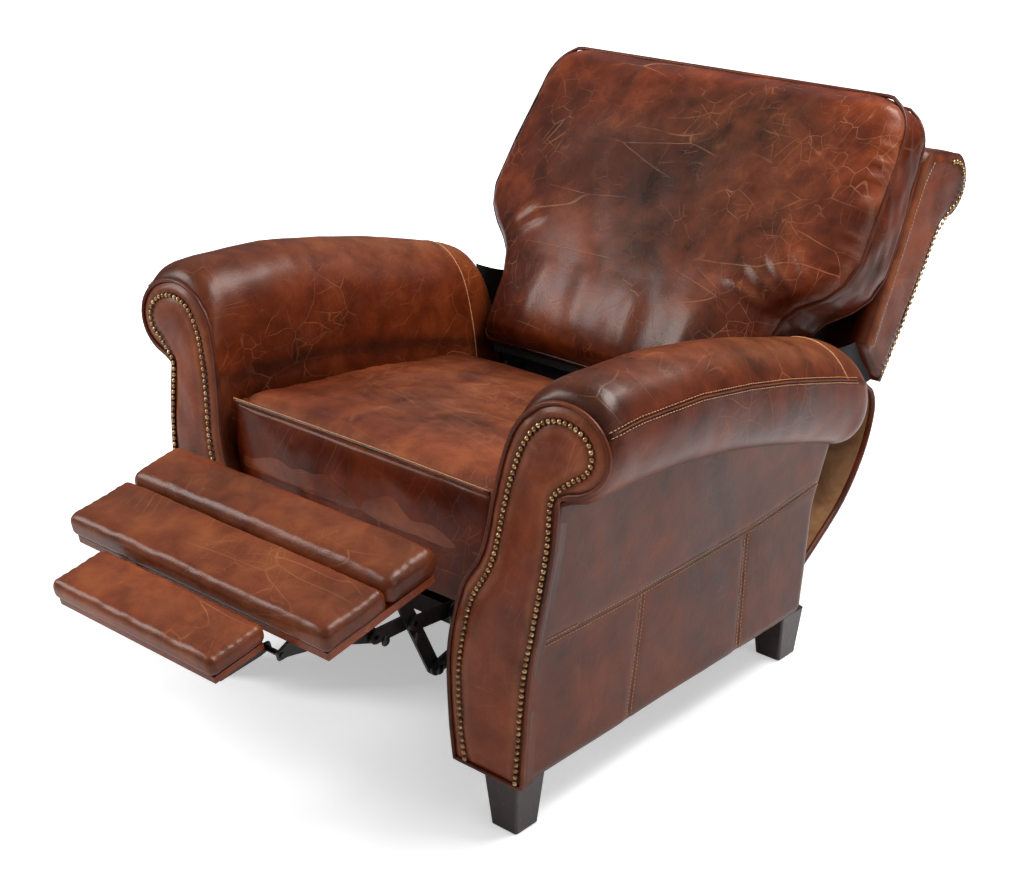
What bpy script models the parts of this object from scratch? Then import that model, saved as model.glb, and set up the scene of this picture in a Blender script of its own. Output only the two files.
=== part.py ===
"""Push-back recliner armchair, modelled open and reclined.

The chair stands on its four feet at z = 0.  X runs across the chair, +Y towards the back, +Z up.
The model's origin is on the floor under the middle of the open chair's length; the drawing
coordinates below count y from the front edge of the front feet, and one empty shifts them.
"""
import math

import bmesh
import bpy
from mathutils import Matrix, Vector

# ---------------------------------------------------------------- driving dimensions, metres
GAP = 0.0003                  # clearance between pieces that touch
FLOOR_CLEARANCE = 0.085       # height of the feet
FOOT_SIDE_BOTTOM = 0.047
FOOT_SIDE_TOP = 0.062
FOOT_TRACK = 0.36             # outer side of the feet at the floor

SEAT_TILT = math.radians(7.0)
SEAT_FRONT_Y = 0.068          # top front edge of the cushion
SEAT_LENGTH = 0.492
SEAT_REAR_Y = SEAT_FRONT_Y + SEAT_LENGTH
FOOT_REAR_Y = SEAT_REAR_Y + 0.098  # front face of the rear feet at the floor
BASE_REAR_Y = SEAT_REAR_Y + 0.147  # rear bottom edge of the arms
RAKE = math.radians(6.5)      # the arm fronts lean back by this angle

FACING_THICK = 0.028          # padded facing boards on the arm fronts
FACING_TOE_Y = -0.010         # front of a facing at its bottom
FACING_BOTTOM = FLOOR_CLEARANCE + 2 * GAP
FACING_TOE_INSET = 0.146      # inner and outer side of a facing's foot, inside the scroll's centre
FACING_HEEL_INSET = 0.020
SCROLL_X = 0.395              # centre of the scroll on an arm front
SCROLL_Z = 0.582
SCROLL_HALF_WIDE = 0.076
SCROLL_HALF_HIGH = 0.060

ROLL_RADIUS = 0.080           # rolled arm
ROLL_Z = 0.575                # its axis over the level stretch
ROLL_LEVEL_Y = 0.36           # behind here the roll falls away
ROLL_FALL = 0.92              # fall per squared metre behind that point
ROLL_END_Y = SEAT_REAR_Y + 0.140

ARM_INNER_X = 0.284           # inside face of an arm
INSIDE_ARM_THICK = 0.029
OUTSIDE_ARM_THICK = 0.020
OUTSIDE_ARM_X = 0.388         # outside face of an arm
RAIL_HEIGHT = 0.045           # hardwood bottom rails
POST_DEPTH = 0.040
CROSS_RAIL_HEIGHT = 0.033
CROSS_RAIL_DEPTH = 0.025
FRONT_RAIL_Y = 0.290          # middle of the front cross rail
REAR_RAIL_Y = SEAT_REAR_Y + 0.0725

SEAT_HALF_WIDTH = 0.262
SEAT_TOP_Z = 0.487            # top of the cushion's front edge
SEAT_THICK = 0.130
SEAT_DECK_THICK = 0.006
SEAT_RAIL_HEIGHT = 0.040
SEAT_RAIL_THICK = 0.030
SEAT_APRON_BOTTOM = 0.292     # lower edge of the leather front rail of the seat

BACK_LEAN = math.radians(26.565)   # lean of the back frame from the vertical
BACK_FOOT = (SEAT_REAR_Y + 0.286, 0.507)  # (y, z) where the wide part of the back frame starts, on its front
BACK_HALF_WIDTH = 0.370
BACK_BOTTOM_THICK = 0.0932
BACK_TOP_THICK = 0.1252
BACK_BOTTOM_DROP = 0.0456     # the rear bottom edge lies this far below the front one
BACK_HEIGHT = 0.2803          # from that start to the underside of the rolled top
BACK_LOWER_LENGTH = 0.150     # narrow part that reaches down between the arms
BACK_SCROLL_RADIUS = 0.055
BACK_SCROLL_UP = BACK_HEIGHT + 0.0216  # centre of the rolled top, along and behind the frame's front
BACK_SCROLL_BEHIND = 0.1163
BACK_SIDE_THICK = 0.035
STILE_WIDTH = 0.036
STILE_DEPTH = 0.066
BACK_PANEL_THICK = 0.012

BACK_CUSHION_BOTTOM = -0.163
BACK_CUSHION_TOP = BACK_HEIGHT + 0.0957
BACK_CUSHION_THICK_BOTTOM = 0.187
BACK_CUSHION_THICK_TOP = 0.094
BACK_CUSHION_NARROW = 0.258   # half width between the arms
BACK_CUSHION_WIDE = 0.362     # half width over the arms
BACK_EAR_START = 0.012
BACK_EAR_RISE = 0.055
BACK_CORNER_RADIUS = 0.060

PIVOT_BACK = (SEAT_REAR_Y + 0.070, 0.375)  # (y, z) of the joints' axes
PIVOT_REAR_LINK = (0.100, 0.235)
PIVOT_STAY_LINK = (0.0387, 0.2916)
JOINT_V = (0.005, 0.209)      # rear link to main link
LINK_WIDTH = 0.022
LINK_THICK = 0.005
LINK_STEP = 0.006             # spacing of the layers of links across the chair
PLATE_X = 0.2085              # inner side of the mechanism's side plates
PLATE_THICK = 0.004
PIN_RADIUS = 0.004

BOARD_REAR = (-0.055, 0.398)  # (y, z) of the footrest board's rear top edge
BOARD_SLOPE = math.radians(11.0)
BOARD_LENGTH = 0.199
BOARD_HALF_WIDTH = 0.262
BOARD_THICK = 0.012
PAD_HALF_WIDTH = 0.270
ROLL_PAD_START = -0.010
ROLL_PAD_END = 0.088
ROLL_PAD_THICK = 0.044
MAIN_PAD_END = BOARD_LENGTH + 0.005
MAIN_PAD_THICK = 0.038
BRACKET_MAIN = (0.015, -0.045)     # pivots on the footrest bracket: along, below the board's top
BRACKET_FRONT = (0.120, -0.055)
FLIPPER_AXIS = (BOARD_LENGTH + 0.013, -0.026)
FLIPPER_START = BOARD_LENGTH + 0.0175
FLIPPER_LENGTH = 0.0965
FLIPPER_HALF_WIDTH = 0.170
FLIPPER_PAD_BOTTOM = -0.006
FLIPPER_PAD_THICK = 0.030
FLIPPER_BOARD_THICK = 0.010
FLIPPER_ARM_X = 0.150
CROSS_SHARE = 0.62            # where the fore and stay links meet the main link, from its foot
KNEE = (-0.100, 0.298)        # (y, z) where the fore link meets the board link

FLAP_HALF_WIDTH = 0.335
FLAP_THICK = 0.005
FLAP_ROUTE = [(SEAT_REAR_Y + behind, z) for behind, z in (
    (0.346, 0.412), (0.380, 0.392), (0.388, 0.350), (0.366, 0.284),
    (0.312, 0.214), (0.235, 0.160), (0.162, 0.118))]


# ---------------------------------------------------------------- scene, collections, materials
for old in list(bpy.data.objects):
    bpy.data.objects.remove(old, do_unlink=True)

chair = bpy.data.collections.new("recliner_armchair")
cutters = bpy.data.collections.new("cutters")
bpy.context.scene.collection.children.link(chair)
bpy.context.scene.collection.children.link(cutters)


def material(name, colour, roughness, metallic=0.0):
    """A Principled material of one colour."""
    made = bpy.data.materials.new(name)
    made.use_nodes = True
    shader = made.node_tree.nodes["Principled BSDF"]
    shader.inputs["Base Color"].default_value = (*colour, 1.0)
    shader.inputs["Roughness"].default_value = roughness
    shader.inputs["Metallic"].default_value = metallic
    return made


LEATHER = material("leather", (0.17, 0.045, 0.02), 0.35)
SUEDE = material("suede", (0.32, 0.16, 0.08), 0.9)
DARK_WOOD = material("dark_wood", (0.03, 0.012, 0.008), 0.3)
FRAME_WOOD = material("frame_wood", (0.45, 0.30, 0.17), 0.7)
BLACK_STEEL = material("black_steel", (0.012, 0.012, 0.014), 0.4, 0.8)
CAMBRIC = material("cambric", (0.015, 0.015, 0.015), 0.9)


# ---------------------------------------------------------------- drawing coordinates
def along_back(up, behind):
    """(y, z) of a point given along the back frame's front and behind it."""
    sin, cos = math.sin(BACK_LEAN), math.cos(BACK_LEAN)
    return (BACK_FOOT[0] + up * sin + behind * cos, BACK_FOOT[1] + up * cos - behind * sin)


def along_board(along, above):
    """(y, z) of a point given along the footrest board and above its top."""
    sin, cos = math.sin(BOARD_SLOPE), math.cos(BOARD_SLOPE)
    return (BOARD_REAR[0] - along * cos - above * sin, BOARD_REAR[1] - along * sin + above * cos)


def behind_facing(z, extra=0.0):
    """y of the back of the arm facings at a height, plus a clearance."""
    foot = FACING_TOE_Y + FACING_THICK / math.cos(RAKE)
    return foot + (z - FACING_BOTTOM) * math.tan(RAKE) + extra


def roll_axis(y):
    """Height of the rolled arm's axis."""
    return ROLL_Z - ROLL_FALL * max(0.0, y - ROLL_LEVEL_Y) ** 2


def under_roll(y):
    """Height just under the rolled arm."""
    slope = math.atan(2 * ROLL_FALL * max(0.0, y - ROLL_LEVEL_Y))
    return roll_axis(y) - (ROLL_RADIUS + 2 * GAP) / math.cos(slope)


def seat_top(y):
    """Height of the seat cushion's top plane."""
    return SEAT_TOP_Z - (y - SEAT_FRONT_Y) * math.tan(SEAT_TILT)


SEAT_BOTTOM_DROP = SEAT_THICK / math.cos(SEAT_TILT)
FLIPPER_TIP_Y = along_board(FLIPPER_START + FLIPPER_LENGTH, FLIPPER_PAD_BOTTOM + FLIPPER_PAD_THICK / 2)[0]
BACK_SCROLL_CENTRE = along_back(BACK_SCROLL_UP, BACK_SCROLL_BEHIND)
CENTRE_Y = (FLIPPER_TIP_Y + BACK_SCROLL_CENTRE[0] + BACK_SCROLL_RADIUS) / 2


def smooth_route(points, steps):
    """Catmull-Rom curve through the points, with the given steps between each two."""
    pts = [Vector(p) for p in points]
    pts = [2 * pts[0] - pts[1]] + pts + [2 * pts[-1] - pts[-2]]
    route = []
    for i in range(1, len(pts) - 2):
        a, b, c, d = pts[i - 1:i + 3]
        for k in range(steps):
            t = k / steps
            route.append(0.5 * (2 * b + (c - a) * t + (2 * a - 5 * b + 4 * c - d) * t ** 2
                                + (3 * b - a - 3 * c + d) * t ** 3))
    route.append(pts[-2])
    return [tuple(p) for p in route]


def arc(centre, half_wide, half_high, start, end, steps):
    """Points on an ellipse from one angle to another, both included, in degrees."""
    turns = [math.radians(start + (end - start) * i / steps) for i in range(steps + 1)]
    return [(centre[0] + half_wide * math.cos(a), centre[1] + half_high * math.sin(a)) for a in turns]


# ---------------------------------------------------------------- bodies: one empty per joint axis
bodies = {}


def body(name, yz, parent=None):
    """An empty on a joint's axis, which its pieces hang from."""
    empty = bpy.data.objects.new(name + "_axis", None)
    chair.objects.link(empty)
    empty.location = (0, yz[0], yz[1])
    if parent:
        upper = bodies[parent]
        empty.parent = upper
        empty.location = Vector((0, yz[0], yz[1])) - drawing_place(upper)
    bodies[name] = empty
    return empty


def drawing_place(empty):
    """Where an empty stands in drawing coordinates."""
    place = Vector(empty.location)
    while empty.parent:
        empty = empty.parent
        place += empty.location
    return place - Vector((0, -CENTRE_Y, 0))


def hang(piece, body_name, made_of):
    """Put a piece in the chair's collection, on its body, with its material."""
    for holder in list(piece.users_collection):
        holder.objects.unlink(piece)
    chair.objects.link(piece)
    piece.data.materials.clear()
    piece.data.materials.append(made_of)
    piece.parent = bodies[body_name]
    piece.location = Vector(piece.location) - drawing_place(bodies[body_name])
    return piece


# ---------------------------------------------------------------- shapes
def block(name, size, centre, lean, body_name, made_of, edge=0.0, segments=2):
    """A box of a size about a centre, leaning about X, with rounded edges."""
    bpy.ops.mesh.primitive_cube_add(size=1)
    piece = bpy.context.object
    piece.name = name
    piece.data.transform(Matrix.Diagonal((*size, 1)))
    piece.location = centre
    piece.rotation_euler = (lean, 0, 0)
    if edge:
        rounding = piece.modifiers.new("rounding", "BEVEL")
        rounding.width = edge
        rounding.segments = segments
        rounding.limit_method = "NONE"
    return hang(piece, body_name, made_of)


def flat(name, outline, holes, thickness, place, turn, body_name, made_of):
    """A 2D outline with holes, extruded by its thickness."""
    curve = bpy.data.curves.new(name, "CURVE")
    curve.dimensions = "2D"
    curve.fill_mode = "BOTH"
    curve.extrude = thickness / 2
    for loop in [outline] + holes:
        spline = curve.splines.new("POLY")
        spline.points.add(len(loop) - 1)
        for point, (u, v) in zip(spline.points, loop):
            point.co = (u, v, 0, 1)
        spline.use_cyclic_u = True
    piece = bpy.data.objects.new(name, curve)
    piece.location = place
    piece.rotation_euler = turn
    return hang(piece, body_name, made_of)


def side_plate(name, outline, x_low, x_high, body_name, made_of, holes=()):
    """A piece drawn in the chair's side view, (y, z), between two x."""
    return flat(name, outline, [hole_at(h, PIN_RADIUS + GAP) for h in holes], abs(x_high - x_low),
                ((x_low + x_high) / 2, 0, 0), (math.pi / 2, 0, math.pi / 2), body_name, made_of)


def hole_at(centre, radius):
    """A round hole's outline, turned the other way from the piece's."""
    return arc(centre, radius, radius, 360, 30, 11)


def link_outline(a, b, width=LINK_WIDTH):
    """A flat bar with round ends about two pivots."""
    lean = math.degrees(math.atan2(b[1] - a[1], b[0] - a[0]))
    half = width / 2
    return arc(b, half, half, lean - 90, lean + 90, 6) + arc(a, half, half, lean + 90, lean + 270, 6)


def thick_line(route, thickness):
    """A band of even thickness along a route."""
    left, right = [], []
    for i, point in enumerate(route):
        before = Vector(route[max(i - 1, 0)])
        after = Vector(route[min(i + 1, len(route) - 1)])
        run = (after - before).normalized()
        side = Vector((-run.y, run.x)) * thickness / 2
        left.append(tuple(Vector(point) + side))
        right.append(tuple(Vector(point) - side))
    return left + right[::-1]


def tube(name, route, radius, body_name, made_of):
    """A round bar along a route of (x, y, z) points."""
    curve = bpy.data.curves.new(name, "CURVE")
    curve.dimensions = "3D"
    curve.bevel_depth = radius
    curve.bevel_resolution = 4
    curve.use_fill_caps = True
    spline = curve.splines.new("POLY")
    spline.points.add(len(route) - 1)
    for point, place in zip(spline.points, route):
        point.co = (*place, 1)
    return hang(bpy.data.objects.new(name, curve), body_name, made_of)


SIDES = (("left", -1), ("right", 1))


# ---------------------------------------------------------------- base: feet, rails and arms
def feet():
    for where, centre_y in (("front", FOOT_SIDE_BOTTOM / 2), ("rear", FOOT_REAR_Y + FOOT_SIDE_BOTTOM / 2)):
        for side, sign in SIDES:
            bpy.ops.mesh.primitive_cone_add(
                vertices=4, radius1=FOOT_SIDE_BOTTOM / math.sqrt(2), radius2=FOOT_SIDE_TOP / math.sqrt(2),
                depth=FLOOR_CLEARANCE)
            foot = bpy.context.object
            foot.name = f"foot_{where}_{side}"
            foot.data.transform(Matrix.Rotation(math.pi / 4, 4, "Z"))
            foot.location = (sign * (FOOT_TRACK - FOOT_SIDE_BOTTOM / 2), centre_y, FLOOR_CLEARANCE / 2)
            hang(foot, "base", DARK_WOOD)


def facing_outline():
    """Half a pair of arm facings in the front view, (x, height along the board)."""
    toe, heel = SCROLL_X - FACING_TOE_INSET, SCROLL_X - FACING_HEEL_INSET
    inner = smooth_route([(toe, FACING_BOTTOM), (0.235, 0.150), (0.224, 0.248), (0.239, 0.342),
                          (0.272, 0.406), (0.288, 0.508), (0.305, 0.577), (0.330, 0.615)], 4)
    scroll = arc((SCROLL_X, SCROLL_Z), SCROLL_HALF_WIDE, SCROLL_HALF_HIGH, 135, -80, 20)
    outer = smooth_route([(0.394, 0.512), (0.393, 0.436), (0.381, 0.325), (0.372, 0.242),
                          (heel, FACING_BOTTOM + 0.010)], 3)
    stretch = 1 / math.cos(RAKE)
    return [(x, (z - FACING_BOTTOM) * stretch) for x, z in inner[:-1] + scroll + outer]


def arms():
    body_x = (ARM_INNER_X + INSIDE_ARM_THICK + GAP, OUTSIDE_ARM_X - OUTSIDE_ARM_THICK - GAP)
    middle_x, width = sum(body_x) / 2, body_x[1] - body_x[0]
    rail_top = FLOOR_CLEARANCE + GAP + RAIL_HEIGHT
    ahead = behind_facing(rail_top, GAP)
    for side, sign in SIDES:
        outline = [(sign * x, h) for x, h in facing_outline()]
        outline = outline if sign < 0 else outline[::-1]
        flat(f"arm_facing_{side}", outline, [], FACING_THICK,
             (0, FACING_TOE_Y + FACING_THICK / 2 / math.cos(RAKE), FACING_BOTTOM),
             (math.pi / 2 - RAKE, 0, 0), "base", LEATHER)

        lean = math.tan(RAKE)
        start = behind_facing(ROLL_Z, GAP)
        route = [(start, ROLL_Z), (start + 0.012, ROLL_Z - 0.012 * lean)]
        route += [(y, roll_axis(y) - 0.012 * lean) for y in (0.20, 0.36)]
        steps = 6
        route += [(y, roll_axis(y) - 0.012 * lean)
                  for y in [ROLL_LEVEL_Y + (ROLL_END_Y - ROLL_LEVEL_Y) * i / steps for i in range(1, steps + 1)]]
        tube(f"arm_roll_{side}", [(sign * SCROLL_X, y, z) for y, z in route], ROLL_RADIUS, "base", LEATHER)

        fall = [ROLL_LEVEL_Y + (ROLL_END_Y - ROLL_LEVEL_Y) * i / 5 for i in range(6)]
        drop = 0.004
        top = [(y, under_roll(y) - drop) for y in fall]
        front = [(behind_facing(FLOOR_CLEARANCE, GAP), FLOOR_CLEARANCE + GAP),
                 (behind_facing(top[0][1], GAP), top[0][1])]
        rear_top = ROLL_END_Y + 0.045
        rear = [(rear_top, under_roll(rear_top) - drop), (BASE_REAR_Y, FLOOR_CLEARANCE + GAP)]
        outside = front + top + rear
        side_plate(f"outside_arm_{side}", outside[::-1], sign * OUTSIDE_ARM_X,
                   sign * (OUTSIDE_ARM_X - OUTSIDE_ARM_THICK), "base", LEATHER)

        raised = [(y, roll_axis(y) - 0.030) for y in fall]
        inside = [front[0], (behind_facing(raised[0][1], GAP), raised[0][1])] + raised
        inside += [(ROLL_END_Y + 0.012, raised[-1][1] - 0.040), (BASE_REAR_Y - 0.004, FLOOR_CLEARANCE + GAP)]
        side_plate(f"inside_arm_{side}", inside[::-1], sign * ARM_INNER_X,
                   sign * (ARM_INNER_X + INSIDE_ARM_THICK), "base", LEATHER)

        block(f"arm_bottom_rail_{side}", (width, BASE_REAR_Y - 0.010 - ahead, RAIL_HEIGHT),
              (sign * middle_x, (ahead + BASE_REAR_Y - 0.010) / 2, FLOOR_CLEARANCE + GAP + RAIL_HEIGHT / 2),
              0, "base", FRAME_WOOD)
        post_top = under_roll(0.2) - 0.010
        z_low, z_high = rail_top + GAP, post_top
        front_post = [(behind_facing(z_low, GAP), z_low), (behind_facing(z_low, POST_DEPTH), z_low),
                      (behind_facing(z_high, POST_DEPTH), z_high), (behind_facing(z_high, GAP), z_high)]
        side_plate(f"arm_front_post_{side}", front_post, sign * body_x[0], sign * body_x[1],
                   "base", FRAME_WOOD)
        rear_y = BASE_REAR_Y - 0.020
        rear_top_z = under_roll(rear_y) - 0.020
        side_plate(f"arm_rear_post_{side}",
                   [(rear_y - POST_DEPTH, z_low), (rear_y, z_low), (rear_y, rear_top_z),
                    (rear_y - POST_DEPTH, rear_top_z + 0.020)],
                   sign * body_x[0], sign * body_x[1], "base", FRAME_WOOD)


def cross_rails():
    inner = ARM_INNER_X - GAP
    for name, centre_y in (("front_cross_rail", FRONT_RAIL_Y), ("rear_cross_rail", REAR_RAIL_Y)):
        block(name, (2 * inner, CROSS_RAIL_DEPTH, CROSS_RAIL_HEIGHT),
              (0, centre_y, FLOOR_CLEARANCE + GAP + CROSS_RAIL_HEIGHT / 2), 0, "base", FRAME_WOOD)


# ---------------------------------------------------------------- mechanism
def mechanism_plates():
    """Steel side plates on the cross rails: the seat slides on them, links and back turn on them."""
    foot_z = FLOOR_CLEARANCE + CROSS_RAIL_HEIGHT + 2 * GAP
    deck = SEAT_BOTTOM_DROP + (SEAT_DECK_THICK + 4 * GAP) / math.cos(SEAT_TILT)
    nose_y, nose_z = PIVOT_STAY_LINK
    hinge_y, hinge_z = PIVOT_BACK
    apron_z = SEAT_APRON_BOTTOM - 0.009
    heel_y, nose_end, deck_end = hinge_y + 0.010, 0.114, hinge_y - 0.052
    outline = [(heel_y, foot_z), (hinge_y + 0.018, hinge_z)]
    outline += arc(PIVOT_BACK, 0.018, 0.018, 30, 180, 5)
    outline += [(hinge_y - 0.030, seat_top(hinge_y - 0.030) - deck), (deck_end, seat_top(deck_end) - deck),
                (nose_end, seat_top(nose_end) - deck), (nose_end, apron_z), (nose_y + 0.012, apron_z)]
    outline += arc((nose_y, nose_z), 0.011, 0.011, 0, 180, 6)
    outline += [(nose_y - 0.010, nose_z - 0.020), (PIVOT_REAR_LINK[0] - 0.020, 0.205),
                (PIVOT_REAR_LINK[0] + 0.020, foot_z)]
    for side, sign in SIDES:
        side_plate(f"mechanism_plate_{side}", outline, sign * PLATE_X, sign * (PLATE_X + PLATE_THICK),
                   "base", BLACK_STEEL, holes=(PIVOT_REAR_LINK, PIVOT_STAY_LINK, PIVOT_BACK))


def link_layer(layer):
    """x of the inner side of a layer of links, counted inwards from the side plates."""
    return PLATE_X - LINK_STEP * layer


def links():
    main_head = along_board(*BRACKET_MAIN)
    front_head = along_board(*BRACKET_FRONT)
    crossing = tuple(JOINT_V[i] + CROSS_SHARE * (main_head[i] - JOINT_V[i]) for i in (0, 1))
    for name, low, high, layer, holder in (
            ("rear_link", PIVOT_REAR_LINK, JOINT_V, 1, "rear_links"),
            ("stay_link", PIVOT_STAY_LINK, crossing, 1, "stay_links"),
            ("main_link", JOINT_V, main_head, 2, "main_links"),
            ("fore_link", crossing, KNEE, 3, "fore_links"),
            ("board_link", KNEE, front_head, 4, "board_links")):
        for side, sign in SIDES:
            inner = link_layer(layer)
            side_plate(f"{name}_{side}", link_outline(low, high), sign * inner,
                       sign * (inner + LINK_THICK), holder, BLACK_STEEL, holes=(low, high))


# ---------------------------------------------------------------- seat
def seat():
    cos, sin = math.cos(SEAT_TILT), math.sin(SEAT_TILT)
    run, drop = Vector((0, cos, -sin)), Vector((0, -sin, -cos))
    corner = Vector((0, SEAT_FRONT_Y, SEAT_TOP_Z))

    def place(along, below, x=0.0):
        return corner + run * along + drop * below + Vector((x, 0, 0))

    block("seat_cushion", (2 * SEAT_HALF_WIDTH, SEAT_LENGTH, SEAT_THICK),
          place(SEAT_LENGTH / 2, SEAT_THICK / 2), -SEAT_TILT, "seat", LEATHER, edge=0.018, segments=3)
    rail_x = SEAT_HALF_WIDTH - SEAT_RAIL_THICK / 2 - 0.004
    deck_half = rail_x - SEAT_RAIL_THICK / 2 - GAP
    apron_depth = 0.024
    behind = apron_depth + 2 * GAP + 0.012
    rail_below = SEAT_THICK + GAP + SEAT_RAIL_HEIGHT / 2
    for side, sign in SIDES:
        block(f"seat_side_rail_{side}", (SEAT_RAIL_THICK, SEAT_LENGTH - behind - 0.004, SEAT_RAIL_HEIGHT),
              place((SEAT_LENGTH + behind - 0.004) / 2, rail_below, sign * rail_x), -SEAT_TILT,
              "seat", FRAME_WOOD)
    deck_length = SEAT_LENGTH - behind - 0.004
    block("seat_spring_deck", (2 * deck_half, deck_length, SEAT_DECK_THICK),
          place(behind + deck_length / 2, SEAT_THICK + GAP + SEAT_DECK_THICK / 2), -SEAT_TILT,
          "seat", BLACK_STEEL)
    under = SEAT_TOP_Z - SEAT_BOTTOM_DROP - 0.007
    height = under - SEAT_APRON_BOTTOM
    block("seat_apron", (2 * SEAT_HALF_WIDTH - 0.004, apron_depth, height),
          (0, behind_facing(under, 0.002) + apron_depth / 2, SEAT_APRON_BOTTOM + height / 2), 0,
          "seat", LEATHER, edge=0.006)


# ---------------------------------------------------------------- back
def back_frame():
    stile_x = PLATE_X + PLATE_THICK + LINK_STEP + GAP
    shoulder = BACK_HEIGHT - 0.0403
    for side, sign in SIDES:
        centre = along_back((BACK_HEIGHT - BACK_LOWER_LENGTH - 0.046) / 2, 0.004 + STILE_DEPTH / 2)
        block(f"back_stile_{side}", (STILE_WIDTH, STILE_DEPTH, BACK_HEIGHT + BACK_LOWER_LENGTH - 0.046),
              (sign * (stile_x + STILE_WIDTH / 2), *centre), -BACK_LEAN, "back", FRAME_WOOD)
        hinge = side_of_back(*PIVOT_BACK)
        tail = -BACK_LOWER_LENGTH - 0.022
        bracket = [along_back(hinge[0] - 0.018, hinge[1] - 0.004), along_back(hinge[0] - 0.012, hinge[1] + 0.016),
                   along_back(tail - 0.020, 0.052), along_back(-BACK_LOWER_LENGTH + 0.020, 0.064),
                   along_back(0.060, 0.064), along_back(0.060, 0.030), along_back(tail, 0.010),
                   along_back(hinge[0] + 0.020, hinge[1] + 0.016), along_back(hinge[0] + 0.020, hinge[1] - 0.012),
                   along_back(hinge[0], hinge[1] - 0.020)]
        inner = PLATE_X + PLATE_THICK + 0.001
        side_plate(f"back_bracket_{side}", bracket, sign * inner, sign * (inner + 0.004), "back",
                   BLACK_STEEL, holes=(PIVOT_BACK,))
        wide = [along_back(0.0, 0.002), along_back(-BACK_BOTTOM_DROP, BACK_BOTTOM_THICK),
                along_back(shoulder, BACK_TOP_THICK - 0.001), along_back(shoulder, 0.062),
                along_back(BACK_HEIGHT - GAP, 0.052), along_back(BACK_HEIGHT - GAP, 0.002)]
        side_plate(f"back_side_{side}", wide, sign * (BACK_HALF_WIDTH - BACK_SIDE_THICK),
                   sign * BACK_HALF_WIDTH, "back", LEATHER)
    rail_half = BACK_HALF_WIDTH - BACK_SIDE_THICK - GAP
    block("back_top_rail", (2 * rail_half, 0.052, 0.045),
          (0, *along_back(BACK_HEIGHT - 2 * GAP - 0.0225, 0.030)), -BACK_LEAN, "back", FRAME_WOOD)
    between = PLATE_X - 0.002
    block("back_bottom_rail", (2 * between, 0.030, 0.050),
          (0, *along_back(-BACK_LOWER_LENGTH + 0.025, 0.024)), -BACK_LEAN, "back", FRAME_WOOD)
    web_length = BACK_HEIGHT - 0.046 + BACK_LOWER_LENGTH - 0.050 - 4 * GAP
    web_centre = -BACK_LOWER_LENGTH + 0.050 + 2 * GAP + web_length / 2
    block("back_webbing", (2 * between, 0.004, web_length), (0, *along_back(web_centre, 0.008)),
          -BACK_LEAN, "back", CAMBRIC)
    panel = [along_back(-BACK_BOTTOM_DROP, BACK_BOTTOM_THICK), along_back(shoulder - 0.002, BACK_TOP_THICK),
             along_back(shoulder - 0.002, BACK_TOP_THICK - BACK_PANEL_THICK),
             along_back(-BACK_BOTTOM_DROP, BACK_BOTTOM_THICK - BACK_PANEL_THICK)]
    side_plate("outside_back", panel, -rail_half, rail_half, "back", LEATHER)


def side_of_back(y, z):
    """The reverse of along_back: how far up and behind a point (y, z) lies."""
    sin, cos = math.sin(BACK_LEAN), math.cos(BACK_LEAN)
    dy, dz = y - BACK_FOOT[0], z - BACK_FOOT[1]
    return (dy * sin + dz * cos, dy * cos - dz * sin)


def back_scroll():
    """The rolled top: a comma shape drawn in the side view."""
    centre = (BACK_SCROLL_UP, BACK_SCROLL_BEHIND)
    rim = arc(centre, BACK_SCROLL_RADIUS, BACK_SCROLL_RADIUS, 223, -35, 16)
    shape = [(BACK_HEIGHT, 0.002), (BACK_HEIGHT, 0.060)] + rim
    shape += [(BACK_HEIGHT + 0.0557, 0.040), (BACK_HEIGHT + 0.0527, 0.002)]
    side_plate("back_scroll", [along_back(u, v) for u, v in shape], -BACK_HALF_WIDTH, BACK_HALF_WIDTH,
               "back", LEATHER)


def back_cushion():
    """A T-shaped cushion: narrow between the arms, wide over them, thinner towards its top."""
    round_corner = arc((BACK_CUSHION_WIDE - BACK_CORNER_RADIUS, BACK_CUSHION_TOP - BACK_CORNER_RADIUS),
                       BACK_CORNER_RADIUS, BACK_CORNER_RADIUS, 0, 90, 5)
    ear = BACK_EAR_START + BACK_EAR_RISE
    right = [(BACK_CUSHION_NARROW, BACK_CUSHION_BOTTOM), (BACK_CUSHION_NARROW + 0.006, BACK_EAR_START),
             (BACK_CUSHION_WIDE - 0.030, ear - 0.012), (BACK_CUSHION_WIDE, ear + 0.020)] + round_corner
    outline = right + [(-x, up) for x, up in right[::-1]]
    piece = flat("back_cushion", outline, [], 1.0, (0, *BACK_FOOT), (math.pi / 2 - BACK_LEAN, 0, 0),
                 "back", LEATHER)
    shaped = bpy.data.meshes.new_from_object(piece.evaluated_get(bpy.context.evaluated_depsgraph_get()))
    solid = bmesh.new()
    solid.from_mesh(shaped)
    bmesh.ops.remove_doubles(solid, verts=solid.verts, dist=0.00001)
    slope = (BACK_CUSHION_THICK_TOP - BACK_CUSHION_THICK_BOTTOM) / (BACK_CUSHION_TOP - BACK_CUSHION_BOTTOM)
    for vert in solid.verts:
        deep = BACK_CUSHION_THICK_BOTTOM + slope * (vert.co.y - BACK_CUSHION_BOTTOM)
        vert.co.z = deep if vert.co.z > 0 else -0.001
    solid.to_mesh(shaped)
    solid.free()
    placed = bpy.data.objects.new("back_cushion_solid", shaped)
    placed.parent, placed.location, placed.rotation_euler = piece.parent, piece.location, piece.rotation_euler
    bpy.data.objects.remove(piece, do_unlink=True)
    chair.objects.link(placed)
    placed.name = "back_cushion"


def rear_flap():
    side_plate("rear_flap", thick_line(smooth_route(FLAP_ROUTE, 3), FLAP_THICK), -FLAP_HALF_WIDTH,
               FLAP_HALF_WIDTH, "base", SUEDE)


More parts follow.
